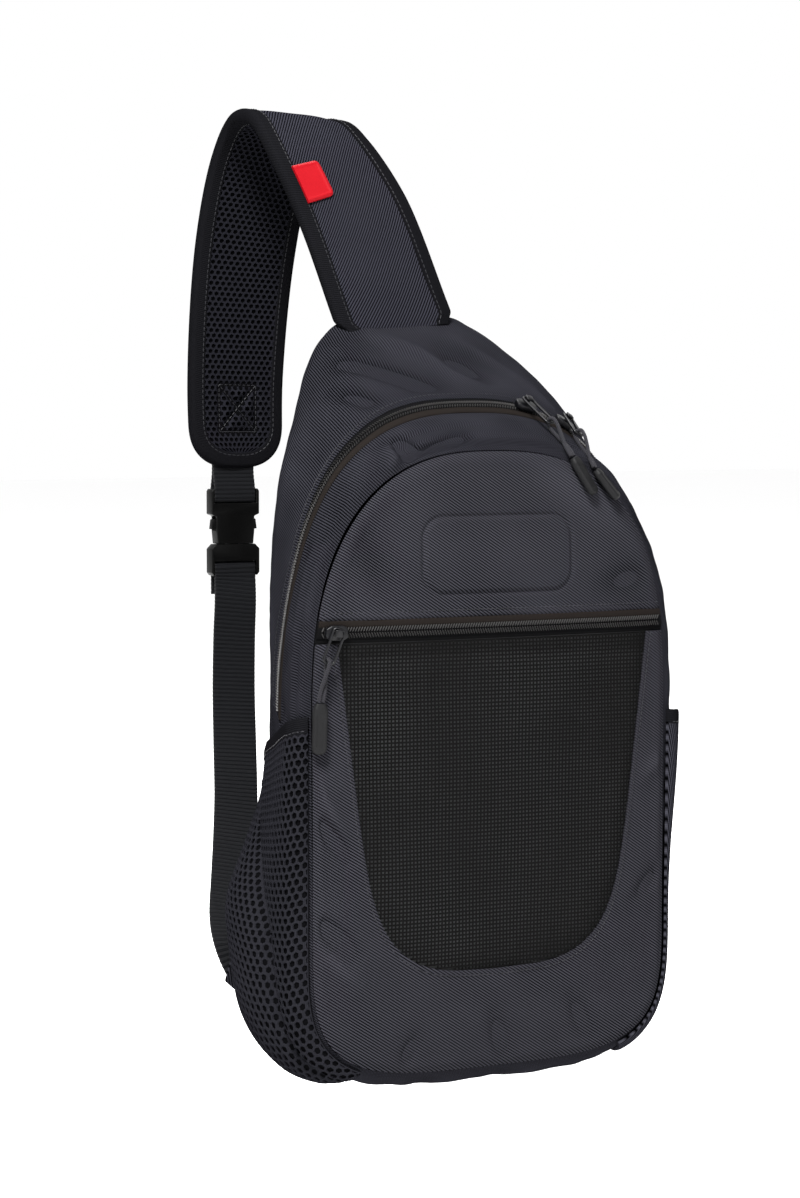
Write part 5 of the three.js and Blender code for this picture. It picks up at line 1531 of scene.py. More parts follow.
@dataclass
class SidePocket:
    """A pocket on one side of the body: a puffed wall with a bound top edge."""

    name: str
    side: int
    puff: float
    mouth: float
    top_rear: float
    top_front: float
    pleat: tuple[tuple[float, ...], tuple[float, ...]] | None = None
    depths: Array = field(init=False)
    tops: Array = field(init=False)
    lobe: float = 7.5
    tuck: float = 6.0
    slow: float = 0.0
    columns: int = 130

    def __post_init__(self) -> None:
        """Finds the top edge's place round the body at each depth."""
        self.depths = np.linspace(SIDE_POCKET_REAR, SIDE_POCKET_FRONT, 98)
        share = np.linspace(0, 1, 98)
        below = self.top_rear + (self.top_front - self.top_rear) * share
        self.tops = np.array([BODY.place_below(d, b) for d, b in zip(self.depths, below)])

    def swell(self, down: Array, forward: Array) -> Array:
        """How far the wall stands off: full between the seams, less at the mouth, nothing at the floor.

        A pleated pocket has two lobes. The front one is a flat quarter ellipse that starts at the
        pleat, the rear one a full bulge behind a valley that the pleat overlaps.

        Args:
            down, forward: shares of the wall.
        Returns:
            Millimetres.
        """
        rise = self.mouth + (1 - self.mouth) * smooth(down, self.slow, self.slow + 0.52)
        floor = np.maximum(0, 1 - down ** (5 if self.pleat is None else 7)) ** 0.6
        if self.pleat is None:
            return self.puff * np.maximum(0, 1 - np.abs(2 * forward - 1) ** 2.4) ** 0.6 * rise * floor
        line = np.interp(down, self.pleat[0], self.pleat[1])
        behind = np.clip(forward / line, 0, 1)
        ahead = np.clip((forward - line) / (1 - line), 0, 1)
        rear = self.puff * np.maximum(0, 1 - np.abs(2 * behind - 1) ** 2.2) ** 0.7 * rise
        front = 2.0 * smooth(down, 0, 0.15)
        front = front + self.lobe * smooth(down, -0.06, 0.42) * np.maximum(0, 1 - ahead**2.2) ** 0.7
        front = front * smooth(1 - forward, 0, 0.03)
        edge = (forward - line) * (SIDE_POCKET_FRONT - SIDE_POCKET_REAR)
        over = smooth(edge, -2.2, 0.4)
        tuck = np.minimum(rear, front - self.tuck * smooth(down, 0.02, 0.25))
        rear = np.where(edge > -9, tuck + (rear - tuck) * smooth(-edge, 3, 9), rear)
        return (rear * (1 - over) + front * over) * floor

    def folds(self, down: Array, forward: Array) -> Array:
        """Relief of the pocket's own soft folds.

        Args:
            down, forward: shares of the wall.
        Returns:
            Heights in millimetres.
        """
        if self.pleat is None:
            crease = -1.0 * bell(forward - 0.35 - 0.2 * down, 0.07) * smooth(down, 0.2, 0.6)
            return crease + 0.5 * np.sin(down * 9) * forward
        reach = 97  # nearly the wall's length in millimetres
        low = (forward - 0.88 - 0.25 * (down - 0.9)) * reach
        relief = -3.5 * bell(low, 2.6) * smooth(down, 0.80, 0.9)
        wave = np.sin(down * 13 + forward * 5) * bell((forward - 0.28) * reach, 20)
        relief += 1.3 * wave * smooth(down, 0.25, 0.5)
        return relief * np.maximum(0, 1 - down**6)

    def at(self, down: Array, forward: Array, height: Array | float) -> Array:
        """Points of the wall at shares down and forward, at a height above its inner face.

        Args:
            down, forward: shares of the wall.
            height: millimetres above the inner face.
        Returns:
            (..., 3) points.
        """
        depth = SIDE_POCKET_REAR + (SIDE_POCKET_FRONT - SIDE_POCKET_REAR) * forward
        top = np.interp(depth, self.depths, self.tops)
        around = top + (POCKET_LOW - top) * down
        around = around if self.side > 0 else 1 - around
        sides = smooth(forward, 0, 0.06) * smooth(1 - forward, 0, 0.06)
        stand = POCKET_SEAM + self.swell(down, forward) + self.folds(down, forward) * sides
        stand = np.maximum(stand, 0.4) + height
        return BODY.at(around, depth) + BODY.normal(around, depth) * np.asarray(stand)[..., None]

    def even_forward(self, share: Array, down: Array) -> Array:
        """Share forward that lies at an equal share of the puffed wall's length at that level.

        Args:
            share: even shares.
            down: shares down.
        Returns:
            Shares forward.
        """
        forward, levels = np.linspace(0, 1, 241), np.linspace(0, 1, 61)
        grid_down, grid_forward = np.meshgrid(levels, forward, indexing="ij")
        at = self.at(grid_down, grid_forward, 0.0)
        run = np.zeros(grid_down.shape)
        run[:, 1:] = np.cumsum(np.linalg.norm(np.diff(at, axis=1), axis=2), axis=1)
        table = np.stack([np.interp(forward, row / row[-1], forward) for row in run])
        s, d = np.clip(share, 0, 1) * 240, np.clip(down, 0, 1) * 60
        s0, d0 = np.minimum(s.astype(int), 239), np.minimum(d.astype(int), 59)
        near = table[d0, s0] * (1 - s + s0) + table[d0, s0 + 1] * (s - s0)
        far = table[d0 + 1, s0] * (1 - s + s0) + table[d0 + 1, s0 + 1] * (s - s0)
        return near * (1 - d + d0) + far * (d - d0)

    def sheet(self, name: str, levels: Array, height: Array | float, finish: Finish, node: str) -> None:
        """Closed sheet at shares down, its face at a height above the wall's inner face.

        Args:
            name, finish, node: as in build.
            levels: (R,) shares down.
            height: millimetres, one or (R, 1).
        """
        down, forward = np.meshgrid(levels, np.linspace(0, 1, self.columns), indexing="ij")
        two_faced(name, self.at(down, forward, height), self.at(down, forward, 0.0), finish, node=node)

    def binding(self) -> None:
        """Tape folded over the top edge: its face bulges between its two sewn borders."""
        rise = 0.6 if self.side < 0 else 0.4
        levels = np.linspace(0.0, BINDING + 0.004, 12)
        bulge = 1.3 + rise * np.maximum(0, 1 - ((levels - BINDING / 2) / (BINDING / 2)) ** 4) ** 0.5
        self.sheet(f"{self.name}_binding_tape", levels, bulge[:, None], TAPE, f"{self.name}_binding")
        down, forward = np.full(200, 0.035), np.linspace(0.01, 0.99, 200)
        line = self.at(down, forward, 1.35 + rise)
        stitches(f"{self.name}_binding_stitches_0", line, unit(line - self.at(down, forward, 0.0)), 3.0)

    def mesh_wall(self) -> None:
        """Honeycomb air mesh over a thin dark liner."""

        def place(s: Array, t: Array, height: float) -> Array:
            """Carries shares of the wall's length and height to the wall's face.

            Args:
                s: shares of the length.
                t: shares of the height.
                height: share through the mesh, 1 on its face.
            Returns:
                (..., 3) points.
            """
            down = BINDING - 0.008 + (1.008 - BINDING) * t
            return self.at(down, self.even_forward(s, down), 0.75 + 0.95 * height)

        holed_sheet(f"{self.name}_air_mesh", place, AIR_MESH_SIZE, AIR_MESH_PITCH, AIR_MESH_HOLE, AIR_MESH,
                    self.name)
        self.sheet(f"{self.name}_liner", np.linspace(BINDING - 0.012, 1.0, 90), 0.45, MESH_BACK, self.name)

    def cloth_wall(self) -> None:
        """Plain cloth wall."""
        levels = np.linspace(BINDING - 0.012, 1.0, 110)
        self.sheet(f"{self.name}_cloth", levels, CLOTH, POCKET_CLOTH, self.name)

    def build(self) -> None:
        """Builds the pocket's wall and binding."""
        if self.side < 0:
            self.mesh_wall()
        else:
            self.cloth_wall()
        self.binding()


@dataclass
class ShoulderStrap:
    """Padded strap: outer cloth, open mesh lining, binding tape round its edge, and a rubber tab."""

    sewn_in: float = -8.0
    curve: SmoothCurve = field(init=False)
    length: float = field(init=False)

    def __post_init__(self) -> None:
        """Sets up the strap's centre line and the turn and tilt of its width."""
        points = np.stack((-STRAP_ROWS[:, 0] * STRAP_LEAN, STRAP_ROWS[:, 1] * STRAP_REACH,
                           STRAP_ROWS[:, 2] * STRAP_RISE), 1) + STRAP_BASE
        self.curve = SmoothCurve(points)
        self.length = self.curve.length

    def point(self, along: Array, sideways: Array, out: Array) -> Array:
        """Point so far along the strap, sideways from its middle and out from its mid thickness.

        Args:
            along, sideways, out: millimetres from the base, the middle and the mid thickness.
        Returns:
            (..., 3) points.
        """
        measures = (np.asarray(measure, float) for measure in (along, sideways, out))
        along, sideways, out = np.broadcast_arrays(*measures)
        share = np.clip(along / self.length, 0, 1)
        t = self.curve.parameter(share)
        tangent = self.curve.tangent(t)
        knots = np.arange(len(STRAP_ROWS))
        turn, tilt = (np.radians(np.interp(t * knots[-1], knots, STRAP_ROWS[:, i])) for i in (3, 4))
        across = np.stack((np.cos(turn) * np.cos(tilt), np.sin(turn) * np.cos(tilt), np.sin(tilt)), -1)
        across = unit(across - (across * tangent).sum(-1, keepdims=True) * tangent)
        away = np.cross(across, tangent)
        return (self.curve.at(t) + tangent * (along - share * self.length)[..., None]
                + across * sideways[..., None] + away * out[..., None])

    def place(self, along: Array, sideways: Array, out: Array) -> Array:
        """The same, slanted near the base to follow the seam that the strap is sewn into.

        Args:
            along: millimetres from the seam.
            sideways, out: as in point.
        Returns:
            (..., 3) points.
        """
        along = np.asarray(along, float)
        slant = (BASE_SKEW * sideways + BASE_CUT * out) * np.clip(1 - along / BASE_BLEND, 0, 1)
        return self.point(along - slant, sideways, out)

    def half(self, along: Array, inset: float) -> Array:
        """Half width inside the edge: a straight taper with a super-elliptic rounded end.

        Args:
            along: millimetres from the base.
            inset: millimetres inside the edge.
        Returns:
            Half widths.
        """
        half = (STRAP_WIDTH + (STRAP_END_WIDTH - STRAP_WIDTH) * along / self.length) / 2 - inset
        half = half - 4.0 * smooth(-along, 0, 8)
        past = np.maximum(0, (along - (self.length - END_ROUND)) / (END_ROUND - inset))
        return half * np.maximum(0, 1 - past**2.6) ** (1 / 2.6)

    def stations(self, inset: float, straight: int, end: int) -> Array:
        """Stations along the strap, closer together round its end.

        Args:
            inset: millimetres inside the edge.
            straight: steps up to the rounded end.
            end: steps round it.
        Returns:
            Millimetres from the base.
        """
        knee = self.length - END_ROUND
        turn = np.linspace(0, math.pi / 2, end + 1)[1:]
        return np.concatenate((np.linspace(self.sewn_in, knee, straight + 1),
                               knee + (END_ROUND - inset) * np.sin(turn)))

    def round_edge(self, inset: float) -> tuple[Array, Array]:
        """Line inside the strap's edge, along and sideways: up one side, round the end and back.

        Args:
            inset: millimetres inside the edge.
        Returns:
            Millimetres along and sideways.
        """
        stations = self.stations(inset, 230, 46)
        side = self.half(stations, inset)
        return np.concatenate((stations, stations[::-1][1:])), np.concatenate((-side, side[::-1][1:]))

    def pad(self) -> None:
        """Outer cloth of the pad: crowned across its width, with shallow creases where it bends over."""
        inset = STRAP_TAPE - 0.6
        along = self.stations(inset, 260, 30)[:, None]
        across = np.linspace(-1, 1, 40)
        side = self.half(along, inset) * across
        crown = 1.1 * np.maximum(0, 1 - np.abs(across) ** 3.0) * np.minimum(1, self.half(along, inset) / 20)
        crease = 0.35 * np.sin(along / 4.2 + 1.2 * across) * bell(along - 168, 26) * (1 - np.abs(across))
        crease = crease + 0.5 * np.sin(along / 9.0 + across * 2) * bell(along - 30, 26)
        point = self.place(along, side, STRAP_HALF_THICK)
        out = STRAP_HALF_THICK - 0.2 + crown + crease + ripple(point, 40, 0.25, 31)
        uv = np.stack(np.broadcast_arrays(side, along), -1)
        inner = self.place(along, side, STRAP_HALF_THICK - STRAP_PAD)
        piece = two_faced("strap_pad", self.place(along, side, out), inner, STRAP_CLOTH, uv, weld=True,
                          node="shoulder_strap")

    def lining(self) -> None:
        """Open mesh lining on the inside over a dark liner."""
        inset = STRAP_TAPE - 0.4
        width, length = STRAP_WIDTH - 2 * inset, self.length - inset
        low = -STRAP_HALF_THICK

        def place(s: Array, t: Array, height: float) -> Array:
            """Carries shares of the width and length to the strap's inner face.

            Args:
                s: shares of the width.
                t: shares of the length.
                height: share through the lining, 1 on its face.
            Returns:
                (..., 3) points.
            """
            along = t * length
            side = (2 * s - 1) * self.half(along, inset)
            flat = np.stack((along, side), -1)
            seam = line_distance(flat, self.sewn_box())
            middle = np.array((self.length - 38.0, 0.0))
            inside = smooth(18.0 - np.abs(flat - middle).max(axis=-1), 0, 4)
            bumps = (np.sin(along / 1.9 + 2 * np.sin(side / 2.6))
                     * np.sin(side / 2.1 + 1.5 * np.sin(along / 3.1)))
            pucker = 1.5 * bell(seam, 1.8) - (1.0 + 0.9 * bumps) * inside * smooth(seam, 1.0, 4.5)
            return self.place(along, side, low + 0.9 * (1 - height) - 0.25 + pucker)

        holed_sheet("strap_lining_mesh", place, (width, length), LINING_PITCH, LINING_HOLE, LINING_MESH,
                    "strap_lining")
        along = self.stations(inset, 120, 16)[:, None]
        side = self.half(along, inset) * np.linspace(-1, 1, 16)
        two_faced("strap_lining_back", self.place(along, side, low + 0.85),
                  self.place(along, side, low + STRAP_LINING), MESH_BACK, weld=True, node="strap_lining")

    def binding(self) -> None:
        """Tape folded round the strap's edge: a flattened U carried down one side, round the end and back."""
        half = STRAP_HALF_THICK + STRAP_TAPE_PROUD
        turn = np.linspace(-math.pi / 2, math.pi / 2, 17)
        edge = np.stack((np.sign(np.cos(turn)) * np.abs(np.cos(turn)) ** 0.8, np.sin(turn)), 1)
        border = [(STRAP_TAPE + 0.6, -half + 0.9), (STRAP_TAPE, -half + 0.15),
                  (STRAP_TAPE - 1.2, -half - 0.05), (6.0, -half)]
        bend = [(3.2 * (1 - c), s * half) for c, s in edge]
        back = [(inset, -height) for inset, height in reversed(border)]
        rows = np.array(border + bend + back)
        run = running(rows)
        rings, measures = [], []
        for (inset, height), distance in zip(rows, run):
            along, across = self.round_edge(inset)
            rings.append(self.place(along, across, height))
            course = running(rings[-1])
            measures.append(np.stack((np.full_like(course, distance), course), 1))
        along, across = self.round_edge(STRAP_TAPE)
        levels = np.interp(run, (run[0], run[-1]), (-half + 1.2, half - 1.2))
        inner = np.stack([self.place(along, across, level) for level in levels])
        two_faced("strap_binding_tape", np.stack(rings), inner, TAPE, np.stack(measures),
                  node="strap_binding")
        along, across = self.round_edge(STRAP_TAPE - 1.5)
        for name, height in (("outer", half + 0.1), ("inner", -half - 0.1)):
            line = self.place(along, across, height)
            stitches(f"strap_{name}_stitches", line, line - self.place(along, across, 0.0), 3.3)

    def sewn_box(self) -> Array:
        """Corners (along, sideways) of the box and cross that hold the webbing behind the lining.

        Returns:
            (8, 2) corners.
        """
        near, far, wide = self.length - 53, self.length - 23, 13.0
        return np.array(((near, -wide), (near, wide), (far, wide), (far, -wide), (near, -wide), (far, wide),
                         (far, -wide), (near, wide)))

    def anchor_stitches(self) -> None:
        """Stitches along the box and cross."""
        line = evenly(self.sewn_box(), 200)
        at = self.place(line[:, 0], line[:, 1], -STRAP_HALF_THICK + 0.75)
        out = at - self.place(line[:, 0], line[:, 1], 0.0)
        stitches("strap_cross_stitches", at, out, SEAM_STITCH)

    def tab(self) -> None:
        """Rubber tab from under the binding, a rounded rectangle with a soft raised border."""
        border = STRAP_WIDTH / 2 - STRAP_TAPE - GAP
        s, t = np.meshgrid(np.linspace(0, 1, 50), np.linspace(0, 1, 36), indexing="ij")
        qx = np.maximum(t * TAB_WIDTH - (TAB_WIDTH - TAB_CORNER), 0)
        cut = TAB_CORNER - np.sqrt(np.maximum(TAB_CORNER**2 - qx**2, 0))
        shrink = np.where(qx > 0, 1 - cut / (TAB_LENGTH / 2), 1.0)
        along = TAB_MIDDLE - TAB_LENGTH * (0.5 + (s - 0.5) * shrink)
        side = -border + t * TAB_WIDTH - 1.2
        edge = np.minimum(np.minimum(s, 1 - s) * TAB_LENGTH, (1 - t) * TAB_WIDTH)
        rise = STRAP_HALF_THICK + STRAP_TAPE_PROUD + GAP + 0.5
        soft = -0.5 * bell(edge, 0.6) + 0.35 * bell(edge - 1.7, 0.7)
        outer, inner = self.point(along, side, rise + 1.4 + soft), self.point(along, side, rise - 0.4)
        two_faced("strap_tab_rubber", outer, inner, RED_RUBBER, node="strap_tab")

    def build(self) -> None:
        """Builds every piece of the strap."""
        self.pad()
        self.lining()
        self.binding()
        self.anchor_stitches()
        self.tab()


STRAP = ShoulderStrap()
PAD_END = STRAP.point(STRAP.length, 0.0, 0.0)
BUCKLE_TOP = PAD_END + np.array((-BUCKLE_SHIFT, 0.0, -BUCKLE_DROP))
PLUG_BAR = BUCKLE_TOP - np.array((0.0, 0.0, SOCKET_LENGTH + GAP + PLUG_BASE - BAR / 2))
WRAP = BAR / 2 + GAP + WEBBING / 2


@dataclass
class Webbing:
    """Webbing from the pad to the buckle and from the buckle to the bag's lower corner, and its anchor."""

    rib_pitch: float = 2.6
    rib_height: float = 0.5
    slack: float = 6.2
    sewn_in: float = 9.0

    def ribbon(self, name: str, points: Array, turns: Array, node: str) -> None:
        """Ribbed band along a curve: a flat super-ellipse carried along, thicker at each rib.

        Args:
            name, node: as in build.
            points: (N, 3) points of the course.
            turns: degrees that the band is turned by, evenly along it.
        """
        curve = SmoothCurve(points)
        count = int(curve.length / (self.rib_pitch / 8))
        t = curve.parameter(np.linspace(0, 1, count))
        tangent = curve.tangent(t)
        turn = np.radians(np.interp(t * (len(turns) - 1), np.arange(len(turns)), turns))
        across = np.stack((np.cos(turn), np.sin(turn), np.zeros(count)), 1)
        across = unit(across - (across * tangent).sum(1, keepdims=True) * tangent)
        out = np.cross(across, tangent)
        centre = curve.at(t)
        run = np.linspace(0, curve.length, count)
        rib = self.rib_height * (np.abs(np.sin(math.pi * run / self.rib_pitch)) - 0.5)
        profile = round_profile(WEBBING_WIDTH, WEBBING, 7.0, 28)
        rings = centre[:, None] + profile[None, :, :1] * across[:, None]
        thick = profile[None, :, 1] + np.sign(profile[None, :, 1]) * rib[:, None]
        rings = rings + thick[..., None] * out[:, None]
        tube(name, rings, centre, profile, run, WEBBING_TAPE, node)

    def end_loop(self) -> None:
        """Loop from the pad round the socket's bar: down, round a half circle and up again."""
        layer = WEBBING / 2 + GAP / 2
        top = BUCKLE_DROP + BAR / 2 + self.sewn_in
        half = [(layer, top), (layer, top / 2), (WRAP, BAR / 2), (WRAP, -BAR / 2),
                (WRAP * 0.85, -self.slack * 0.85)]
        line = [(-y, z) for y, z in half] + [(0, -self.slack)] + half[::-1]
        middle = BUCKLE_TOP - np.array((0, 0, BAR / 2))
        points = np.array([middle + (0, y, z) for y, z in line])
        self.ribbon("strap_end_webbing", points, np.zeros(2), "strap_end_loop")

    def long_run(self) -> None:
        """Long run: its short end behind it, over the plug's bar, then down to the lower corner."""
        turnover = [(WRAP, -14), (WRAP, -BAR / 2), (WRAP * 0.85, self.slack * 0.85), (0, self.slack),
                    (-WRAP * 0.85, self.slack * 0.85), (-WRAP, -BAR / 2 - 1)]
        start = np.array([PLUG_BAR + (0, y, z) for y, z in turnover])
        fall = WEBBING_END - PLUG_BAR
        across = PLUG_BAR[0] + fall[0] * WEBBING_ROWS[:, 0]
        back = WEBBING_END[1] - fall[1] * WEBBING_ROWS[:, 1]
        down = PLUG_BAR[2] + fall[2] * WEBBING_ROWS[:, 2]
        points = np.vstack((start, np.stack((across, back, down), 1)))
        self.ribbon("long_webbing", points, WEBBING_TURN, "strap_webbing")

    def anchor(self) -> None:
        """Cloth tab that holds the webbing's end: two lines of its outline joined by straight rows."""
        edge = BODY.at(np.array(1 - BODY.place_below(0.0, 400.0)), np.array(0.0))[0] + BACK_SEAM / 2
        end_x, end_z = WEBBING_END[0], WEBBING_END[2]
        right = evenly(np.array(((edge, end_z + 24), (edge, end_z - 28))), 30)
        left = evenly(np.array(((end_x - 14, end_z + 18), (end_x - 20, end_z), (end_x + 2, end_z - 20))), 30)
        share = np.linspace(0, 1, 24)[None, :, None]
        grid = left[:, None] * (1 - share) + right[:, None] * share
        x, z = grid[..., 0], grid[..., 1]
        swell = 0.5 * np.sin(math.pi * share[..., 0]) * np.ones_like(x)
        outer = np.stack((x, 0.3 + 2.0 + swell, z), -1)
        inner = np.stack((x, np.full_like(x, 0.3), z), -1)
        two_faced("webbing_anchor_cloth", outer, inner, SHELL_CLOTH, np.stack((x, z), -1),
                  node="webbing_anchor")

    def build(self) -> None:
        """Builds the webbing and its anchor."""
        self.end_loop()
        self.long_run()
        self.anchor()


@dataclass
class HardPart:
    """A moulded or cast piece that keeps its frame solid, with its edges softened."""

    node: str
    finish: Finish
    bevel: float

    def build(self) -> Piece:
        """Copies the frame's solid, joins its triangles, bevels its edges and gives it its finish.

        Returns:
            The object.
        """
        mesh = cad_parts[self.node].data.copy()
        piece = linked(f"{self.node}_moulded", mesh)
        piece.matrix_world = Matrix.Identity(4)
        mesh.materials.clear()
        mesh.materials.append(self.finish.material())
        weld = piece.modifiers.new("weld", "WELD")
        weld.merge_threshold = 2e-5
        flat = piece.modifiers.new("flat", "DECIMATE")
        flat.decimate_type = "DISSOLVE"
        flat.angle_limit = math.radians(2)
        edge = piece.modifiers.new("edge", "BEVEL")
        edge.width = self.bevel * MM
        edge.segments = 2
        edge.limit_method = "ANGLE"
        edge.angle_limit = math.radians(28)
        mesh.polygons.foreach_set("use_smooth", np.ones(len(mesh.polygons), bool))
        mesh.set_sharp_from_angle(angle=math.radians(40))
        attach(piece, "root")
        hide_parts(self.node)
        log.info("%s: softened copy of the frame's solid", self.node)
        return piece


@dataclass
class ZipPull:
    """A zip's pull: slider, wire link, cord doubled through the link, and a moulded grip."""

    name: str
    slider: tuple[float, float, float]
    out: tuple[float, float, float]
    zip_way: tuple[float, float, float]
    wire_end: tuple[float, float, float]
    mouth: tuple[float, float, float]
    end: tuple[float, float, float]
    post: float = 1.1
    seat_out: Array = field(init=False, default_factory=lambda: np.zeros(3))

    def __post_init__(self) -> None:
        """Works out the direction away from the cloth, square to the zip."""
        way = unit(np.array(self.zip_way))
        out = np.array(self.out)
        self.seat_out = unit(out - way * (out @ way))

    def _axes(self, start: Array, finish: Array) -> tuple[Array, Array, Array]:
        """Axes of a run: across, along from start to finish, and away from the bag.

        Args:
            start, finish: the two ends.
        Returns:
            The three unit vectors.
        """
        along = unit(finish - start)
        across = unit(np.cross(along, self.seat_out))
        return across, along, np.cross(across, along)

    def wire(self) -> None:
        """Round wire bent to a link: a rounded rectangle in the plane of the run."""
        start = np.array(self.slider) + self.seat_out * (3.6 + 6 * GAP)
        end = np.array(self.wire_end)
        across, along, away = self._axes(start, end)
        length = float(np.linalg.norm(end - start))
        low = -self.post - 2 * GAP - WIRE / 2
        half, height, radius = WIRE_WIDTH / 2 - WIRE / 2, (length - low) / 2, 2.0
        angle = np.linspace(0, 2 * math.pi, 72, endpoint=False)
        corner = np.stack((np.cos(angle), np.sin(angle)), 1)
        core = np.sign(np.round(corner, 6)) * np.array((half - radius, height - radius))
        line = core + corner * radius
        line = evenly(np.vstack((line, line[:1])), 96)[:-1]
        middle = start + along * (low + height) + away * WIRE / 2
        centre = middle + line[:, :1] * across + line[:, 1:] * along
        way = unit(np.roll(centre, -1, axis=0) - np.roll(centre, 1, axis=0))
        side = np.cross(way, away)
        carried(f"{self.name}_wire_link", centre, side, np.broadcast_to(away, side.shape),
                round_profile(WIRE, WIRE, 2.0, 10), METAL, f"{self.name}_wire", closed=True)

    def cord_path(self) -> Array:
        """Route of the doubled cord: up from the grip, round the link's lower bar and back down.

        Returns:
            (70, 3) points.
        """
        start = np.array(self.wire_end) + self.seat_out * WIRE / 2
        mouth = np.array(self.mouth)
        across, along, away = self._axes(start, mouth)
        length = float(np.linalg.norm(mouth - start))
        bend = math.acos(float(np.clip(along @ unit(np.array(self.end) - mouth), -1, 1)))
        reach = length - 1.5 * GAP - (CORD + GAP) * math.sin(bend)
        apart, radius = CORD / 2 + GAP / 2, WIRE * math.sqrt(0.5) + 2 * GAP + CORD / 2
        route = np.array(((-1, 1, 0), (-1, 0.72, -0.1), (-0.6, 0.36, -0.75), (0, 0.08, -1), (0, -0.06, -0.8),
                          (0, -0.105, 0), (0, -0.06, 0.8), (0, 0.08, 1), (0.6, 0.36, 0.75), (1, 0.72, 0.1),
                          (1, 1, 0)))
        knots = (start + route[:, :1] * apart * across + route[:, 1:2] * reach * along
                 + route[:, 2:] * radius * away)
        curve = SmoothCurve(knots)
        return curve.at(curve.parameter(np.linspace(0, 1, 70)))

    def cord(self) -> None:
        """Braided cord: a round profile carried along its route, with its length logged."""
        path = self.cord_path()
        way = unit(np.gradient(path, axis=0))
        across, _, _ = self._axes(np.array(self.wire_end), np.array(self.mouth))
        side = unit(across - (way @ across)[:, None] * way)
        piece = carried(f"{self.name}_cord_braid", path, side, np.cross(side, way),
                        round_profile(CORD, CORD, 2.0, 12), PULL_CORD, f"{self.name}_cord")
        grip = self.grip()
        length = total_length(path) * MM
        route = [tuple(p) for p in (path + ROW_SHIFT) * MM]
        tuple(route[0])
        log.info("%s: cord %.1f mm", self.name, length / MM)

    def grip(self) -> Piece:
        """Moulded grip: an oval bar with rounded ends and a shallow panel pressed into both faces.

        Its outline's half width is a super-ellipse of the share along; a face point is lowered by the
        panel's depth inside the panel.

        Returns:
            The object.
        """
        start, end = np.array(self.mouth), np.array(self.end)
        across, along, away = self._axes(start, end)
        length = float(np.linalg.norm(end - start))
        share = np.concatenate((np.linspace(0, 0.12, 9), np.linspace(0.14, 0.86, 40),
                                np.linspace(0.88, 1, 12)))
        width = np.minimum(1, np.maximum(0.0, 1 - np.maximum(0, (share - 0.86) / 0.14) ** 2.2)) ** 0.5
        width *= 0.72 + 0.28 * smooth(share, 0.0, 0.14)
        ring = round_profile(2.0, 2.0, 3.2, 36)
        x = ring[None, :, 0] * (GRIP_WIDTH / 2) * width[:, None]
        y = ring[None, :, 1] * (GRIP_THICK / 2) * (0.25 + 0.75 * width[:, None])
        ends = smooth(share, 0.2, 0.25) * smooth(1 - share, 0.12, 0.17)
        inside = smooth(0.66 - np.abs(ring[None, :, 0]), 0, 0.16) * ends[:, None]
        y = y * (1 - 0.2 * inside)
        x[0], y[0] = x[0] * 0.85, y[0] * 0.85
        x[-1], y[-1] = x[-1] * 0, y[-1] * 0
        centre = start + along * (share * length)[:, None]
        rings = centre[:, None] + x[..., None] * across + y[..., None] * away
        points = np.vstack((rings.reshape(-1, 3), centre[:1]))
        around, tip = np.arange(36), np.full(36, len(points) - 1)
        cap = np.stack(((around + 1) % 36, around, tip, tip), 1)
        faces = np.vstack((grid_faces(len(share), 36, 0, True), cap))
        return build(f"{self.name}_grip_rubber", points, faces, RUBBER, weld=True, sharp=60,
                     node=f"{self.name}_grip")

    def build(self) -> None:
        """Builds the pull."""
        HardPart(f"{self.name}_slider", METAL, 0.5).build()
        self.wire()
        self.cord()


# Places and directions of the pulls, in mm, as the part's source works them out.
PULLS = (
    ZipPull("main_pull_left", (36.8574, -78.4559, -54.7102), (0.1872, -0.5699, 0.8001),
            (13.5147, 0.0, -3.1813), (44.6033, -97.4831, -63.7305), (51.7306, -111.9985, -83.6406),
            (63.0, -118.1833, -105.0)),
    ZipPull("main_pull_right", (63.2221, -78.3892, -65.0393), (0.4404, -0.4866, 0.7545),
            (13.4097, 0.0, -7.8585), (63.4923, -97.176, -70.6396), (67.0969, -111.9779, -91.0899),
            (79.0, -117.8871, -108.0)),
    ZipPull("pocket_pull", (-104.0, -111.3546, -181.5), (0.0, -1.0, 0.0), (13.0, -1.8713, 0.0),
            (-111.5, -116.7108, -198.0), (-115.2, -115.1, -221.0), (-115.8, -114.1, -250.5)),
)


def turned(right: Array, back: Array, place: Array) -> Matrix:
    """World matrix of a camera or lamp, which looks against its back.

    Args:
        right, back: unit vectors to its right and behind it.
        place: where it stands, in metres.
    Returns:
        The matrix.
    """
    turn = np.eye(4)
    turn[:3, 0], turn[:3, 1], turn[:3, 2], turn[:3, 3] = right, np.cross(back, right), back, place
    return Matrix(turn.tolist())


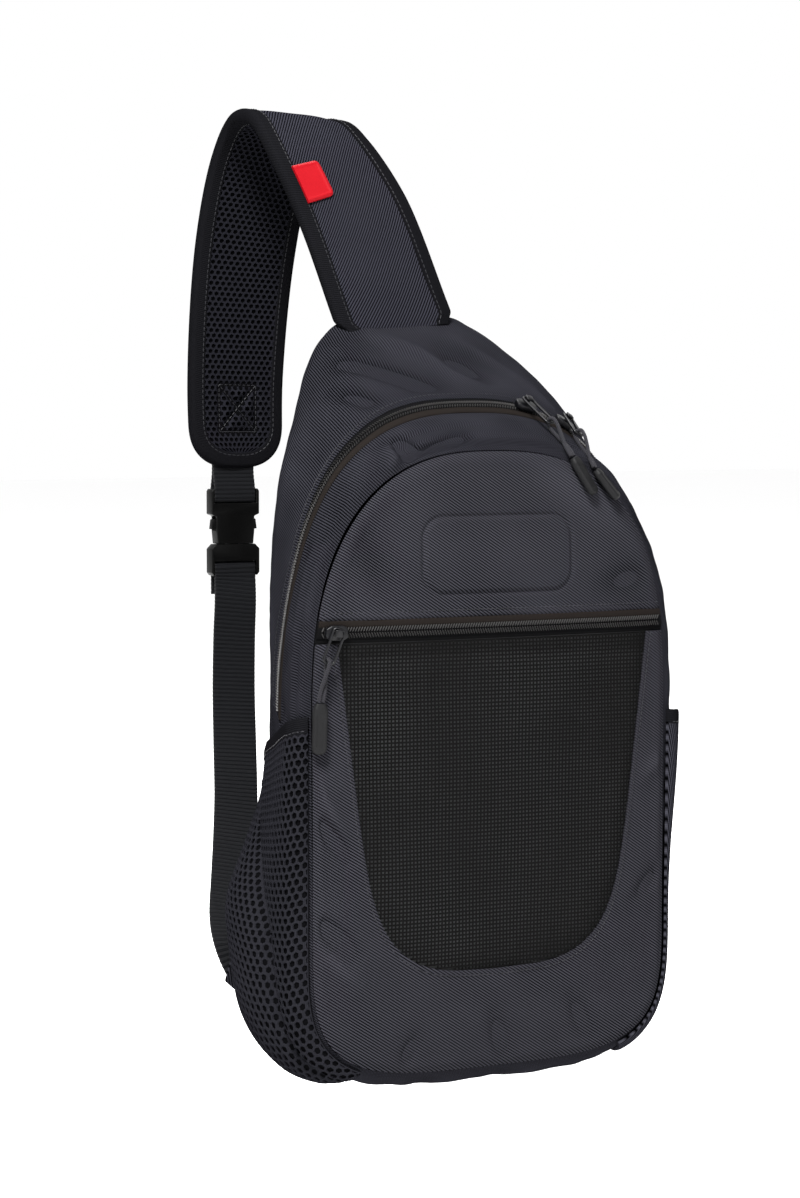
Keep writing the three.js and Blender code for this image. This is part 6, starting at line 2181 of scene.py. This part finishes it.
@dataclass
class Studio:
    """Camera at the photograph's angle, a pale seamless floor and soft lights."""

    azimuth: float = -27.0
    elevation: float = 4.0
    eye: tuple[float, float, float] = (-788.0, -1699.3, -161.2)
    lens: float = 90.0
    floor_drop: float = 0.66
    aim: tuple[float, float, float] = (0.04, -0.06, -0.28)

    def camera(self) -> None:
        """Places the camera by its angles: right, up and back are the columns of its turn."""
        a, e = math.radians(self.azimuth), math.radians(self.elevation)
        back = np.array((math.sin(a) * math.cos(e), -math.cos(a) * math.cos(e), math.sin(e)))
        right = np.array((math.cos(a), math.sin(a), 0.0))
        data = bpy.data.cameras.new("camera")
        data.lens = self.lens
        data.sensor_width = 36.0
        data.clip_end = 50.0
        camera = linked("camera", data)
        camera.matrix_world = turned(right, back, np.array(self.eye) * MM)
        bpy.context.scene.camera = camera

    def floor(self) -> None:
        """Wide pale floor below the hanging bag."""
        size, level = 14.0, -self.floor_drop
        corners = [(x * size, y * size, level) for x, y in ((-1, -1), (1, -1), (1, 1), (-1, 1))]
        mesh = bpy.data.meshes.new("floor")
        mesh.from_pydata(corners, [], [(0, 1, 2, 3)])
        material = bpy.data.materials.new("pale floor")
        material.use_nodes = True
        kit = NodeKit(material.node_tree)
        kit.shader.inputs["Base Color"].default_value = (0.97, 0.97, 0.97, 1.0)
        kit.shader.inputs["Roughness"].default_value = 0.9
        mesh.materials.append(material)
        linked("floor", mesh)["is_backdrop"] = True

    def light(self, name: str, place: tuple[float, float, float], size: float, power: float) -> None:
        """Square area light aimed at the bag's middle.

        Args:
            name: the lamp's name.
            place: where it hangs, in metres.
            size: side in metres.
            power: watts.
        """
        data = bpy.data.lights.new(name, "AREA")
        data.shape, data.size, data.energy = "SQUARE", size, power
        back = unit(np.array(place) - np.array(self.aim))
        right = unit(np.cross((0.0, 0.0, 1.0), back))
        linked(name, data).matrix_world = turned(right, back, place)

    def build(self) -> None:
        """Sets up the camera, the lights, the pale surroundings and the floor."""
        self.camera()
        self.floor()
        self.light("key light", (-0.95, -1.25, 1.5), 0.6, 330.0)
        self.light("fill light", (0.5, -2.4, -0.1), 1.2, 30.0)
        self.light("top light", (0.2, 0.7, 1.8), 1.0, 60.0)
        world = bpy.data.worlds.new("pale surroundings")
        world.use_nodes = True
        world.node_tree.nodes["Background"].inputs["Color"].default_value = (1.0, 1.0, 1.0, 1.0)
        bpy.context.scene.world = world
        bpy.context.scene.view_settings.view_transform = "Standard"


def write_sizes() -> None:
    """Works out the frame's box and the dressed part's box."""
    plain = lambda box: [[float(v) for v in corner] for corner in box]
    {"cad": plain(CAD_BOX), "visual": plain(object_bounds())}


def main() -> None:
    """Builds the camera first, then the cords, then every other piece in order."""
    Studio().build()
    for pull in PULLS:
        pull.build()
    Body().build()
    FrontPocket().build()
    SidePocket("left_pocket", -1, LEFT_PUFF, LEFT_MOUTH, LEFT_TOP_REAR, LEFT_TOP_FRONT, PLEAT,
               slow=0.05).build()
    SidePocket("right_pocket", 1, RIGHT_PUFF, RIGHT_MOUTH, SIDE_POCKET_TOP_REAR,
               SIDE_POCKET_TOP_FRONT).build()
    STRAP.build()
    Webbing().build()
    HardPart("buckle_socket", PLASTIC, 0.7).build()
    HardPart("buckle_plug", PLASTIC, 0.7).build()
    write_sizes()


if __name__ == "__main__":
    logging.basicConfig(level=logging.INFO, format="%(name)s %(message)s")
    main()
